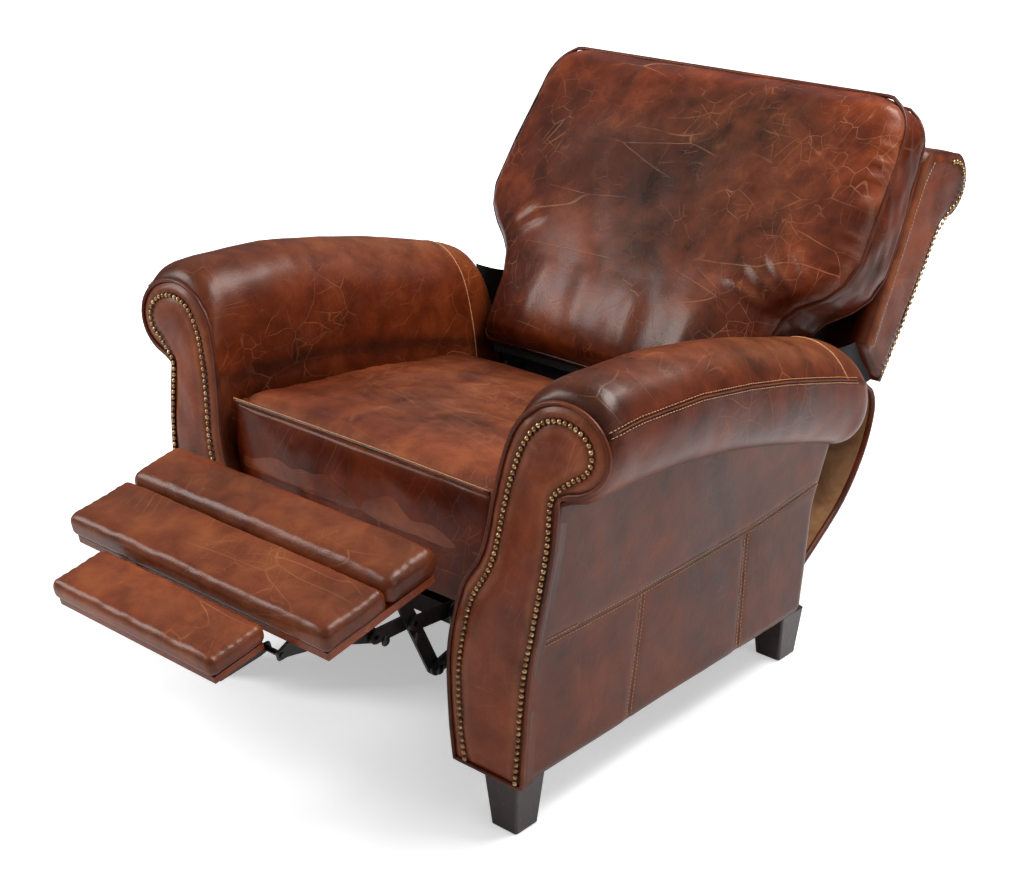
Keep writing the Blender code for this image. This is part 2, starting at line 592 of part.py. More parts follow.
# ---------------------------------------------------------------- footrest
def board_block(name, start, end, low, high, half_width, holder, made_of, edge=0.0):
    """A slab given along the footrest board and above its top."""
    centre = along_board((start + end) / 2, (low + high) / 2)
    return block(name, (2 * half_width, end - start, high - low), (0, *centre), BOARD_SLOPE,
                 holder, made_of, edge=edge, segments=3)


def footrest():
    board_block("footrest_board", 0.0, BOARD_LENGTH, -BOARD_THICK, 0.0, BOARD_HALF_WIDTH, "footrest", CAMBRIC)
    board_block("footrest_roll_pad", ROLL_PAD_START, ROLL_PAD_END, GAP, ROLL_PAD_THICK, PAD_HALF_WIDTH,
                "footrest", LEATHER, edge=0.014)
    board_block("footrest_main_pad", ROLL_PAD_END + 0.001, MAIN_PAD_END, GAP, MAIN_PAD_THICK, PAD_HALF_WIDTH,
                "footrest", LEATHER, edge=0.012)
    top = -BOARD_THICK - GAP
    bracket = [(0.002, top), (BOARD_LENGTH - 0.012, top), (FLIPPER_AXIS[0] + 0.006, FLIPPER_AXIS[1] + 0.006),
               (FLIPPER_AXIS[0] + 0.006, FLIPPER_AXIS[1] - 0.006), (FLIPPER_AXIS[0] - 0.008, FLIPPER_AXIS[1] - 0.008),
               (BRACKET_FRONT[0] + 0.014, BRACKET_FRONT[1] - 0.006), (BRACKET_FRONT[0] - 0.010, BRACKET_FRONT[1] - 0.012),
               (BRACKET_MAIN[0] + 0.060, -0.036), (BRACKET_MAIN[0] + 0.012, BRACKET_MAIN[1] - 0.010),
               (BRACKET_MAIN[0] - 0.010, BRACKET_MAIN[1] - 0.008)]
    inner = link_layer(5)
    for side, sign in SIDES:
        side_plate(f"footrest_bracket_{side}", [along_board(*p) for p in bracket], sign * inner,
                   sign * (inner + LINK_THICK), "footrest", BLACK_STEEL,
                   holes=[along_board(*p) for p in (BRACKET_MAIN, BRACKET_FRONT, FLIPPER_AXIS)])
    axis = along_board(*FLIPPER_AXIS)
    tube("flipper_rod", [(-inner - LINK_THICK - 0.002, *axis), (inner + LINK_THICK + 0.002, *axis)],
         PIN_RADIUS, "footrest", BLACK_STEEL)


def flipper():
    end = FLIPPER_START + FLIPPER_LENGTH
    board_block("flipper_pad", FLIPPER_START, end, FLIPPER_PAD_BOTTOM, FLIPPER_PAD_BOTTOM + FLIPPER_PAD_THICK,
                FLIPPER_HALF_WIDTH, "flipper", LEATHER, edge=0.010)
    low = FLIPPER_PAD_BOTTOM - GAP - FLIPPER_BOARD_THICK
    board_block("flipper_board", FLIPPER_START + 0.006, end - 0.006, low, low + FLIPPER_BOARD_THICK,
                FLIPPER_HALF_WIDTH - 0.006, "flipper", CAMBRIC)
    axis_along, axis_above = FLIPPER_AXIS
    arm = [(axis_along - 0.008, axis_above - 0.004), (axis_along - 0.007, axis_above + 0.006),
           (axis_along + 0.008, low - GAP), (end - 0.020, low - GAP), (end - 0.020, low - 0.010),
           (axis_along + 0.012, low - 0.015)]
    for side, sign in SIDES:
        side_plate(f"flipper_arm_{side}", [along_board(*p) for p in arm], sign * FLIPPER_ARM_X,
                   sign * (FLIPPER_ARM_X + 0.004), "flipper", BLACK_STEEL,
                   holes=[along_board(*FLIPPER_AXIS)])


# ---------------------------------------------------------------- assembly
origin = bpy.data.objects.new("chair_origin", None)
chair.objects.link(origin)
origin.location = (0, -CENTRE_Y, 0)
bodies["base"] = origin
body("seat", (SEAT_FRONT_Y, SEAT_TOP_Z - SEAT_BOTTOM_DROP), "base")
body("back", PIVOT_BACK, "base")
body("rear_links", PIVOT_REAR_LINK, "base")
body("stay_links", PIVOT_STAY_LINK, "base")
body("main_links", JOINT_V, "rear_links")
main_top = along_board(*BRACKET_MAIN)
body("fore_links", tuple(JOINT_V[i] + CROSS_SHARE * (main_top[i] - JOINT_V[i]) for i in (0, 1)), "main_links")
body("footrest", main_top, "main_links")
body("board_links", along_board(*BRACKET_FRONT), "footrest")
body("flipper", along_board(*FLIPPER_AXIS), "footrest")

feet()
arms()
cross_rails()
mechanism_plates()
links()
seat()
back_frame()
back_scroll()
back_cushion()
rear_flap()
footrest()
flipper()
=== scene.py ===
"""Looks of a push-back recliner armchair in antiqued leather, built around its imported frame.

Drawing coordinates: metres, x across the chair, y from the front edge of the front feet towards
the back, z up.  Every mesh is written in them and shifted by FRONT_Y to the frame's own y.
"""

import math

import bpy
import numpy as np
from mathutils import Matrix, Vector


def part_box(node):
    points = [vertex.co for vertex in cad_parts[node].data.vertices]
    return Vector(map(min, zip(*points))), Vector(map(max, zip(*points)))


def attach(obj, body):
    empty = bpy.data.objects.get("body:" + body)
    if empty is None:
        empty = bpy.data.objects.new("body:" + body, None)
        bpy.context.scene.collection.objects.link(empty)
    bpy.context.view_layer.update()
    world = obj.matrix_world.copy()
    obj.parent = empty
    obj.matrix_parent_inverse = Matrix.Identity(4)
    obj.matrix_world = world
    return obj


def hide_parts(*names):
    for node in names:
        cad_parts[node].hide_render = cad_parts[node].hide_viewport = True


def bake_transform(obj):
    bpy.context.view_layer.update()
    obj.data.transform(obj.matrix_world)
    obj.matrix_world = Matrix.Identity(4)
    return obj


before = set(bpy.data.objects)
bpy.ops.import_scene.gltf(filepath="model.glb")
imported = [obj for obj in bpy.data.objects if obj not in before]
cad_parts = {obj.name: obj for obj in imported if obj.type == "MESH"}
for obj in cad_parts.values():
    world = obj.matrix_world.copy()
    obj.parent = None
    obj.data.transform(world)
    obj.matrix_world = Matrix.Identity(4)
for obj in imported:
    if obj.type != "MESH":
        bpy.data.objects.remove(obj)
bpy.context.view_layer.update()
FOOT_HALF_BOTTOM, FOOT_HALF_TOP = 0.0235, 0.031
foot_low, foot_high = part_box("foot_front_right")
FRONT_Y = (foot_low.y + foot_high.y) / 2 - FOOT_HALF_BOTTOM
SIDES = (("left", -1), ("right", 1))


# ------------------------------------------------------------------ feet
# Four tapered beech blocks under the arms, turned out wide end up, stained espresso and
# lacquered.  The corners are eased and the stain has worn to a red brown in small patches.
def linear(code):
    """An sRGB hex colour as linear RGBA: each channel is code / 12.92 below 0.04045 and
    ((code + 0.055) / 1.055) to the 2.4 above."""
    channels = [int(code[i:i + 2], 16) / 255 for i in (0, 2, 4)]
    return [c / 12.92 if c <= 0.04045 else ((c + 0.055) / 1.055) ** 2.4 for c in channels] + [1.0]


def add(tree, kind, inputs=None, **settings):
    """Add a node, set its properties, and fill or link its inputs."""
    node = tree.nodes.new(kind)
    for name, value in settings.items():
        setattr(node, name, value)
    for name, value in (inputs or {}).items():
        if isinstance(value, bpy.types.NodeSocket):
            tree.links.new(value, node.inputs[name])
        else:
            node.inputs[name].default_value = value
    return node


def ramp(tree, factor, *stops):
    """A colour ramp over (position, colour code) stops."""
    node = add(tree, "ShaderNodeValToRGB", {"Fac": factor})
    while len(node.color_ramp.elements) < len(stops):
        node.color_ramp.elements.new(1.0)
    for element, (position, code) in zip(node.color_ramp.elements, stops):
        element.position = position
        element.color = linear(code)
    return node.outputs["Color"]


def spread(tree, value, low, high, to_low=0.0, to_high=1.0):
    """Map a value from one range to another, clamped at both ends."""
    node = add(tree, "ShaderNodeMapRange", {"Value": value, "From Min": low, "From Max": high,
                                            "To Min": to_low, "To Max": to_high})
    return node.outputs["Result"]


def mixed(tree, factor, below, above, kind="MIX"):
    """Mix two colours by a factor."""
    node = add(tree, "ShaderNodeMix", {"Factor": factor}, data_type="RGBA", blend_type=kind)
    for socket, value in ((node.inputs[6], below), (node.inputs[7], above)):
        if isinstance(value, bpy.types.NodeSocket):
            tree.links.new(value, socket)
        else:
            socket.default_value = value
    return node.outputs[2]


def maths(tree, kind, a, b=0.0):
    """One arithmetic step on two values."""
    node = tree.nodes.new("ShaderNodeMath")
    node.operation = kind
    for socket, value in zip(node.inputs, (a, b)):
        if isinstance(value, bpy.types.NodeSocket):
            tree.links.new(value, socket)
        else:
            socket.default_value = value
    return node.outputs[0]


def new_material(name):
    """A material with an empty Principled BSDF: (material, tree, shader)."""
    made = bpy.data.materials.new(name)
    made.use_nodes = True
    return made, made.node_tree, made.node_tree.nodes["Principled BSDF"]


def noise_of(tree, place, scale, detail=3.0, roughness=0.55, distortion=0.0):
    """A noise value about 0.5 at so many features to the metre."""
    return add(tree, "ShaderNodeTexNoise", {"Vector": place, "Scale": scale, "Detail": detail,
                                            "Roughness": roughness, "Distortion": distortion}).outputs["Fac"]


def piece(name, points, faces, finish, body=None, smooth=True):
    """A mesh from drawing coordinates, on a body of the frame."""
    mesh = bpy.data.meshes.new(name)
    points = np.asarray(points, float).reshape(-1, 3) + [0.0, FRONT_Y, 0.0]
    mesh.from_pydata(points.tolist(), [], [tuple(int(i) for i in f) for f in faces])
    mesh.validate()
    if smooth:
        mesh.polygons.foreach_set("use_smooth", np.ones(len(mesh.polygons), bool))
    for made_of in finish if isinstance(finish, (list, tuple)) else [finish]:
        mesh.materials.append(made_of)
    made = bpy.data.objects.new(name, mesh)
    bpy.context.scene.collection.objects.link(made)
    if body:
        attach(made, body)
    return made


def grid_faces(rows, columns, ring=False, start=0, flip=False):
    """Quads of a grid of points stored row by row; ring joins the last column to the first."""
    made = []
    for i in range(rows - 1):
        for j in range(columns if ring else columns - 1):
            k = (j + 1) % columns
            quad = (i * columns + j, i * columns + k, (i + 1) * columns + k, (i + 1) * columns + j)
            made.append(tuple(start + q for q in (quad[::-1] if flip else quad)))
    return made


def rounded_square(half, radius, steps=4):
    """Points of a square of a half side with rounded corners, counterclockwise."""
    made = []
    for turn in range(4):
        for k in range(steps + 1):
            a = math.pi / 2 * (turn + k / steps)
            cx = (half - radius) * (1 if turn in (0, 3) else -1)
            cy = (half - radius) * (1 if turn in (0, 1) else -1)
            made.append((cx + radius * math.cos(a), cy + radius * math.sin(a)))
    return made


espresso, tree, shader = new_material("espresso_lacquered_beech")  # thin brown lacquer over dark stain
place = add(tree, "ShaderNodeTexCoord").outputs["Object"]
grain = add(tree, "ShaderNodeMapping", {"Vector": place, "Scale": (60.0, 60.0, 7.0)}).outputs["Vector"]
grain = noise_of(tree, grain, 6.0, 5.0)
colour = ramp(tree, grain, (0.30, "160e0c"), (0.55, "261511"), (0.75, "3a1d14"))
worn = spread(tree, noise_of(tree, place, 90.0), 0.60, 0.72)
colour = mixed(tree, maths(tree, "MULTIPLY", worn, 0.5), colour, linear("5c3020"))
tree.links.new(colour, shader.inputs["Base Color"])
tree.links.new(spread(tree, grain, 0.3, 0.7, 0.32, 0.5), shader.inputs["Roughness"])
shader.inputs["Coat Weight"].default_value = 0.25
tree.links.new(add(tree, "ShaderNodeBump", {"Height": grain, "Strength": 0.25, "Distance": 0.0004}).outputs["Normal"],
               shader.inputs["Normal"])

for where in ("front", "rear"):
    for side, sign in SIDES:
        node = f"foot_{where}_{side}"
        low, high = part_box(node)
        middle = (low + high) / 2
        rings = [(0.0, 0.0015), (0.0015, 0.0), (high.z - 0.0015, 0.0), (high.z, 0.0015)]
        points = []
        for z, inset in rings:
            half = FOOT_HALF_BOTTOM + (FOOT_HALF_TOP - FOOT_HALF_BOTTOM) * z / high.z - inset
            points += [(middle.x + x, middle.y - FRONT_Y + y, z) for x, y in rounded_square(half, 0.004)]
        count = len(rounded_square(1.0, 0.1))
        faces = grid_faces(len(rings), count, ring=True)
        faces += [tuple(range(count))[::-1], tuple(range(count * (len(rings) - 1), count * len(rings)))]
        foot = piece(f"lacquered_foot_{where}_{side}", points, faces, espresso, "base", smooth=False)
        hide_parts(node)


# ------------------------------------------------------------------ arm facings
# Padded boards on the arm fronts: a scroll at the top, waisted below it, leaning back.  The
# leather is drawn over each board, piped round its edge and pinned inside it with domed nails.
def leather(name, dark, middle, warm, pale, wear=0.5, seed=0.0, gloss=0.0, shine=0.26):
    """Hand-antiqued pull-up leather: soft clouds of dark dye, warmer worn patches from the wear
    attribute, which on some parts also paints highlights, painted shade from the shade attribute,
    thin pale creases and scratches, a fine pebbled grain and a soft wax polish."""
    made, tree, shader = new_material(name)
    place = add(tree, "ShaderNodeTexCoord").outputs["Object"]
    place = add(tree, "ShaderNodeMapping", {"Vector": place, "Location": (seed, -seed, 0.5 * seed)}).outputs["Vector"]
    broad = noise_of(tree, place, 3.6, 4.0, 0.55, 0.4)
    fine = noise_of(tree, place, 19.0, 7.0, 0.62, 0.3)
    clouds = maths(tree, "ADD", maths(tree, "MULTIPLY", broad, 0.62), maths(tree, "MULTIPLY", fine, 0.38))
    colour = ramp(tree, clouds, (0.36, dark), (0.50, middle), (0.66, warm))
    speckle = spread(tree, noise_of(tree, place, 260.0, 4.0, 0.7), 0.45, 0.70)
    colour = mixed(tree, maths(tree, "MULTIPLY", speckle, 0.18), colour, linear(dark))

    def scored(turn, long, cells, width, patches, low):
        """Thin lines where long random cells meet, kept only inside random patches."""
        lain = add(tree, "ShaderNodeMapping", {"Vector": place, "Rotation": turn}).outputs["Vector"]
        lain = add(tree, "ShaderNodeMapping", {"Vector": lain, "Scale": (1.0 / long, 1.0, 1.0)}).outputs["Vector"]
        bent = add(tree, "ShaderNodeTexNoise", {"Vector": lain, "Scale": 9.0, "Detail": 2.0}).outputs["Color"]
        bent = mixed(tree, 0.06, lain, bent, "ADD")
        edge = add(tree, "ShaderNodeTexVoronoi", {"Vector": bent, "Scale": cells}, feature="DISTANCE_TO_EDGE")
        line = spread(tree, edge.outputs["Distance"], 0.0, width, 1.0, 0.0)
        return maths(tree, "MULTIPLY", line, spread(tree, noise_of(tree, place, patches, 4.0, 0.6), low, low + 0.2))

    creases = scored((0.1, 0.15, 0.2), 12.0, 13.0, 0.011, 6.0, 0.50)
    scratches = scored((0.6, -0.9, 0.8), 14.0, 34.0, 0.020, 11.0, 0.50)
    hatching = scored((-0.5, 1.0, -0.6), 12.0, 40.0, 0.020, 9.0, 0.51)
    lines = maths(tree, "MAXIMUM", maths(tree, "MULTIPLY", creases, 0.75), maths(tree, "MULTIPLY", scratches, 0.6))
    lines = maths(tree, "MAXIMUM", lines, maths(tree, "MULTIPLY", hatching, 0.6))
    lines = maths(tree, "MULTIPLY", lines, wear)
    # The wear attribute pales the colour: real rubbing on crowns and edges, and on some parts a painted highlight (the
    # facing borders, the right side and fold ridges of the back cushion).
    wear_and_sheen = add(tree, "ShaderNodeAttribute", attribute_name="wear").outputs["Fac"]
    wear_and_sheen = maths(tree, "MULTIPLY", wear_and_sheen, spread(tree, fine, 0.32, 0.68, 0.25, 1.0))
    colour = mixed(tree, maths(tree, "MULTIPLY", wear_and_sheen, 0.22), colour, linear(pale))
    colour = mixed(tree, maths(tree, "MULTIPLY", lines, 0.75), colour, linear(pale))
    # The shade attribute darkens the colour towards 170a07: painted shade in seams, recesses, undersides and the seat's
    # rear, and on some parts a darker tone.
    shade = add(tree, "ShaderNodeAttribute", attribute_name="shade").outputs["Fac"]
    colour = mixed(tree, maths(tree, "MULTIPLY", shade, 0.8), colour, linear("170a07"))
    tree.links.new(colour, shader.inputs["Base Color"])
    pebble = add(tree, "ShaderNodeTexVoronoi", {"Vector": place, "Scale": 620.0}, feature="SMOOTH_F1")
    relief = maths(tree, "ADD", maths(tree, "MULTIPLY", pebble.outputs["Distance"], 0.10),
                   maths(tree, "MULTIPLY", noise_of(tree, place, 330.0, 4.0, 0.6), 0.22))
    relief = maths(tree, "ADD", relief, maths(tree, "MULTIPLY", noise_of(tree, place, 34.0, 5.0, 0.5, 0.3), 0.6))
    relief = maths(tree, "SUBTRACT", relief, maths(tree, "MULTIPLY", lines, 0.45))
    relief = add(tree, "ShaderNodeBump", {"Height": relief, "Strength": 0.6, "Distance": 0.0014})
    tree.links.new(relief.outputs["Normal"], shader.inputs["Normal"])
    rough = spread(tree, clouds, 0.35, 0.65, 0.34 - gloss, 0.44 - gloss)
    rough = maths(tree, "ADD", rough, maths(tree, "MULTIPLY", lines, 0.15))
    tree.links.new(rough, shader.inputs["Roughness"])
    shader.inputs["Specular IOR Level"].default_value = shine
    shader.inputs["Specular Tint"].default_value = (1.0, 0.82, 0.74, 1.0)
    shader.inputs["Coat Weight"].default_value = 0.10
    shader.inputs["Coat Roughness"].default_value = 0.20
    return made


def curve_through(points, steps):
    """Catmull-Rom curve: between b and c of a, b, c, d the point is half of
    2b + (c - a) t + (2a - 5b + 4c - d) t^2 + (3b - a - 3c + d) t^3."""
    pts = np.asarray(points, float)
    pts = np.vstack([2 * pts[0] - pts[1], pts, 2 * pts[-1] - pts[-2]])
    made = []
    for a, b, c, d in zip(pts, pts[1:], pts[2:], pts[3:]):
        for t in np.arange(steps) / steps:
            made.append(0.5 * (2 * b + (c - a) * t + (2 * a - 5 * b + 4 * c - d) * t ** 2
                               + (3 * b - a - 3 * c + d) * t ** 3))
    made.append(pts[-2])
    return np.array(made)


def arc(centre, wide, high, start, end, steps):
    """Points on an ellipse between two angles in degrees."""
    a = np.radians(np.linspace(start, end, steps + 1))
    return np.stack([centre[0] + wide * np.cos(a), centre[1] + high * np.sin(a)], 1)


def spaced(route, pitch=None, count=None, closed=False):
    """Points at an even spacing along a route of points."""
    route = np.asarray(route, float)
    if closed:
        route = np.vstack([route, route[:1]])
    run = np.concatenate([[0.0], np.cumsum(np.linalg.norm(np.diff(route, axis=0), axis=1))])
    count = count or max(2, int(round(run[-1] / pitch)) + (0 if closed else 1))
    at = np.linspace(0.0, run[-1], count + 1)[:-1] if closed else np.linspace(0.0, run[-1], count)
    return np.stack([np.interp(at, run, route[:, k]) for k in range(route.shape[1])], 1)


def headings(route, closed=False):
    """Unit direction of travel at each point of a route."""
    ahead = np.roll(route, -1, 0) - np.roll(route, 1, 0)
    if not closed:
        ahead[0], ahead[-1] = route[1] - route[0], route[-1] - route[-2]
    return ahead / np.maximum(np.linalg.norm(ahead, axis=1, keepdims=True), 1e-9)


def cord_mesh(route, radius, closed=False, sides=8, up=(0.0, 0.0, 1.0)):
    """Points and faces of a round cord along a route, its ends closed with a cap."""
    route = np.asarray(route, float)
    forward = headings(route, closed)
    side = np.cross(forward, np.asarray(up, float) + 1e-3)
    side /= np.linalg.norm(side, axis=1, keepdims=True)
    top = np.cross(side, forward)
    a = np.linspace(0, 2 * math.pi, sides, endpoint=False)
    points = (route[:, None] + radius * (np.cos(a)[None, :, None] * side[:, None]
                                         + np.sin(a)[None, :, None] * top[:, None]))
    rows = len(route)
    if closed:
        points = np.concatenate([points, points[:1]])
        faces = [tuple(q % (rows * sides) for q in f) for f in grid_faces(rows + 1, sides, ring=True)]
        points = points[:-1]
    else:
        faces = grid_faces(rows, sides, ring=True)
        faces += [tuple(range(sides))[::-1], tuple(range((rows - 1) * sides, rows * sides))]
    return points.reshape(-1, 3), faces


def joined(parts):
    """Several (points, faces) as one."""
    points, faces, start = [], [], 0
    for some, quads in parts:
        points.append(np.asarray(some, float).reshape(-1, 3))
        faces += [tuple(start + i for i in f) for f in quads]
        start += len(points[-1])
    return np.vstack(points), faces


def shell(outer, inner):
    """Points and faces of a closed slab between two grids of points of one size; outer's rows and
    columns turn so that (next row - row) x (next column - column) points out of the slab."""
    rows_n, cols_n = outer.shape[:2]
    half = rows_n * cols_n
    faces = [f[::-1] for f in grid_faces(rows_n, cols_n)] + grid_faces(rows_n, cols_n, start=half)
    rim = list(range(cols_n)) + [i * cols_n + cols_n - 1 for i in range(1, rows_n)]
    rim += [half - 1 - j for j in range(1, cols_n)] + [i * cols_n for i in range(rows_n - 2, 0, -1)]
    for k, r in enumerate(rim):
        n = rim[(k + 1) % len(rim)]
        faces.append((r, n, half + n, half + r))
    return np.concatenate([outer.reshape(-1, 3), inner.reshape(-1, 3)]), faces


def domes(places, normals, radius, height, sides=8):
    """Domed nailheads: rings of a flattened half ball at each place, along its normal."""
    parts = []
    for at, n in zip(places, normals):
        n = np.asarray(n, float) / np.linalg.norm(n)
        u = np.cross(n, (0.3, 0.5, 0.81))
        u /= np.linalg.norm(u)
        v = np.cross(n, u)
        a = np.linspace(0, 2 * math.pi, sides, endpoint=False)
        points = []
        for wide, high in ((1.0, -0.3), (1.0, 0.1), (0.82, 0.55), (0.45, 0.9)):
            points += [at + radius * wide * (math.cos(t) * u + math.sin(t) * v) + height * high * n for t in a]
        points.append(at + height * n)
        faces = grid_faces(4, sides, ring=True)
        faces += [(3 * sides + j, 3 * sides + (j + 1) % sides, 4 * sides) for j in range(sides)]
        faces.append(tuple(range(sides))[::-1])
        parts.append((points, faces))
    return joined(parts)


def stitches(places, forward, normals, length=0.0046, radius=0.0007):
    """Short six-sided stitches lying along a seam, a little proud of the leather."""
    parts = []
    for at, f, n in zip(places, forward, normals):
        n = np.asarray(n, float)
        u = np.cross(f, n)
        u /= np.linalg.norm(u)
        points = []
        for along, wide, rise in ((-0.5, 0.6, -0.6), (-0.3, 1.0, 0.5), (0.3, 1.0, 0.5), (0.5, 0.6, -0.6)):
            points += [at + f * length * along + radius * (wide * math.cos(a) * u + (wide * math.sin(a) + rise) * n)
                       for a in np.arange(6) * math.pi / 3]
        faces = grid_faces(4, 6, ring=True) + [(5, 4, 3, 2, 1, 0), (18, 19, 20, 21, 22, 23)]
        parts.append((points, faces))
    return joined(parts)


def undulation(points, seed, amount, size):
    """A smooth random height: the sum of eight sine waves of random heading, about a size long."""
    some = np.random.default_rng(seed)
    heading = some.normal(size=(8, 3))
    heading /= np.linalg.norm(heading, axis=1, keepdims=True)
    wave = 2 * math.pi / (size * some.uniform(0.6, 1.6, 8))
    turn = some.uniform(0, 2 * math.pi, 8)
    return amount * np.sin(points @ heading.T * wave + turn).sum(-1) / 3.0


def attribute(made, name, values):
    """A number for each vertex, read by the leather: wear, which on some parts is a painted highlight, and shade, which
    is mostly painted shade.
    """
    made.data.attributes.new(name, "FLOAT", "POINT").data.foreach_set("value", np.asarray(values, np.float32).ravel())


def distance_to(points, route, closed=False):
    """Distance of each point to a polyline."""
    route = np.asarray(route, float)
    if closed:
        route = np.vstack([route, route[:1]])
    best = np.full(len(points), 1e9)
    for a, b in zip(route, route[1:]):
        ab = b - a
        t = np.clip(((points - a) @ ab) / max(ab @ ab, 1e-12), 0, 1)
        best = np.minimum(best, np.linalg.norm(points - a - t[:, None] * ab, axis=1))
    return best


facing_leather = leather("antiqued_leather_facings", "3f180b", "6e3019", "92482a", "c08458", wear=0.5, seed=3.1)
welt_leather = leather("antiqued_leather_piping", "35130a", "5c2713", "7e3e20", "b37850", wear=0.3, seed=9.7)

brass, tree, shader = new_material("antique_brass_nails")  # domed upholstery nails, toned down and rubbed bright in random patches
place = add(tree, "ShaderNodeTexCoord").outputs["Object"]
tone = noise_of(tree, place, 110.0, 3.0)
tree.links.new(ramp(tree, tone, (0.35, "7a5c3c"), (0.55, "b08c62"), (0.72, "dcc29a")), shader.inputs["Base Color"])
shader.inputs["Metallic"].default_value = 1.0
tree.links.new(spread(tree, tone, 0.3, 0.7, 0.42, 0.26), shader.inputs["Roughness"])

thread, tree, shader = new_material("tan_waxed_thread")  # thick tan upholstery thread
place = add(tree, "ShaderNodeTexCoord").outputs["Object"]
tone = noise_of(tree, place, 420.0, 2.0)
tree.links.new(ramp(tree, tone, (0.3, "a06a40"), (0.7, "d49c68")), shader.inputs["Base Color"])
tree.links.new(spread(tree, tone, 0.3, 0.7, 0.5, 0.75), shader.inputs["Roughness"])

RAKE = math.radians(6.5)
FACING_BOTTOM, FACING_TOE_Y, FACING_THICK = 0.0856, -0.010, 0.028
SCROLL, SCROLL_HALF = (0.395, 0.582), (0.076, 0.060)


def facing_front(z):
    """y of the front of an arm facing at a height."""
    return FACING_TOE_Y + (z - FACING_BOTTOM) * math.tan(RAKE)


inner_edge = curve_through([(0.249, 0.0856), (0.235, 0.150), (0.224, 0.248), (0.239, 0.342), (0.272, 0.406),
                            (0.288, 0.508), (0.305, 0.577), (0.325, 0.612)], 8)
crest = arc(SCROLL, *SCROLL_HALF, 146, 90, 8)
inner_edge = np.vstack([inner_edge[:-1], crest])
outer_edge = curve_through([(0.375, 0.0856), (0.372, 0.242), (0.381, 0.325), (0.393, 0.436), (0.394, 0.514)], 8)
outer_edge = np.vstack([outer_edge, arc(SCROLL, *SCROLL_HALF, -76, 90, 30)])
facing_loop = np.vstack([inner_edge, outer_edge[::-1][1:]])

rows = np.unique(np.concatenate([np.linspace(0.0856, 0.506, 60), np.linspace(0.506, 0.534, 16),
                                 0.582 + 0.060 * np.sin(np.linspace(-0.9, math.pi / 2, 34))]))
share = np.linspace(0, 1, 45)
share = 0.5 - 0.5 * np.cos(math.pi * share) * (0.75 + 0.25 * np.cos(math.pi * share) ** 2)
left_x = np.interp(rows, inner_edge[:, 1], inner_edge[:, 0])
right_x = np.interp(rows, outer_edge[:, 1], outer_edge[:, 0])
flat_x = left_x[:, None] + (right_x - left_x)[:, None] * share[None, :]
flat_z = np.repeat(rows[:, None], len(share), 1)
spots = np.stack([flat_x.ravel(), flat_z.ravel()], 1)
inside = distance_to(spots, facing_loop, closed=True)

nail_route = np.vstack([
    [(0.272, 0.094)], curve_through([(0.262, 0.130), (0.250, 0.200), (0.249, 0.255), (0.262, 0.332), (0.294, 0.398),
                                     (0.311, 0.500), (0.327, 0.562), (0.343, 0.594)], 6),
    arc(SCROLL, SCROLL_HALF[0] - 0.024, SCROLL_HALF[1] - 0.022, 150, -58, 26),
    curve_through([(0.400, 0.531), (0.386, 0.508), (0.386, 0.436), (0.374, 0.325), (0.365, 0.242), (0.366, 0.094)], 6)])
nail_places = spaced(nail_route, pitch=0.0094)
near_nails = distance_to(spots, nail_route)

for side, sign in SIDES:
    swell = 0.006 * (1 - np.exp(-(inside / 0.010) ** 2)) - 0.006 + 0.003 * (1 - np.exp(-(inside / 0.038) ** 4))
    swell -= 0.0022 * np.exp(-(near_nails / 0.0055) ** 2)
    lumps = undulation(np.stack([spots[:, 0] * sign, spots[:, 1], spots[:, 1] * 0], 1), 11 + sign, 0.0008, 0.05)
    swell += lumps * np.clip(inside / 0.012, 0, 1)
    y = facing_front(spots[:, 1]) - swell
    front = np.stack([sign * spots[:, 0], y, spots[:, 1]], 1)
    front_faces = grid_faces(len(rows), len(share), flip=sign < 0)
    rim = [i * len(share) for i in range(len(rows))]
    rim += [(len(rows) - 1) * len(share) + j for j in range(1, len(share))]
    rim += [i * len(share) + len(share) - 1 for i in range(len(rows) - 2, -1, -1)]
    rim += [j for j in range(len(share) - 2, 0, -1)]
    start = len(front)
    wall = []
    for back in (0.012, FACING_THICK):
        for r in rim:
            x, z = spots[r]
            wall.append((sign * x, facing_front(z) + back, z))
    count = len(rim)
    quads = [(rim[k], rim[(k + 1) % count], start + (k + 1) % count, start + k) for k in range(count)]
    quads += [(start + k, start + (k + 1) % count, start + count + (k + 1) % count, start + count + k)
              for k in range(count)]
    closing = [tuple(start + count + k for k in range(count))]
    if sign < 0:
        quads, closing = [q[::-1] for q in quads], [c[::-1] for c in closing]
    facing = piece(f"padded_arm_facing_{side}", np.vstack([front, wall]), front_faces + quads + closing,
                   facing_leather, "base")
    # Painted shade in the dimples round the nails, along the piped edge and on the hidden sides; a painted highlight as
    # a pale band on the bulge 13 mm either side of the nail line, passed as wear.
    dark = np.concatenate([0.5 * np.exp(-(near_nails / 0.0055) ** 2) + 0.7 * np.exp(-(inside / 0.004) ** 2),
                           np.full(len(wall), 0.6)])
    bright = np.concatenate([np.exp(-((near_nails - 0.013) / 0.005) ** 2) * 0.8, np.zeros(len(wall))])
    attribute(facing, "shade", dark)
    attribute(facing, "wear", bright)
    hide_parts(f"arm_facing_{side}")

    loop = spaced(facing_loop, pitch=0.008, closed=True)
    loop = np.stack([sign * loop[:, 0], facing_front(loop[:, 1]) + 0.0045, loop[:, 1]], 1)
    welt = piece(f"arm_facing_piping_{side}", *cord_mesh(loop, 0.0036, closed=True, up=(0, 1, 0)), welt_leather, "base")

    at = np.stack([sign * nail_places[:, 0], facing_front(nail_places[:, 1]) - 0.0008, nail_places[:, 1]], 1)
    outward = np.tile([0.0, -math.cos(RAKE), math.sin(RAKE)], (len(at), 1))
    piece(f"arm_facing_nails_{side}", *domes(at, outward, 0.0040, 0.0031), brass, "base")


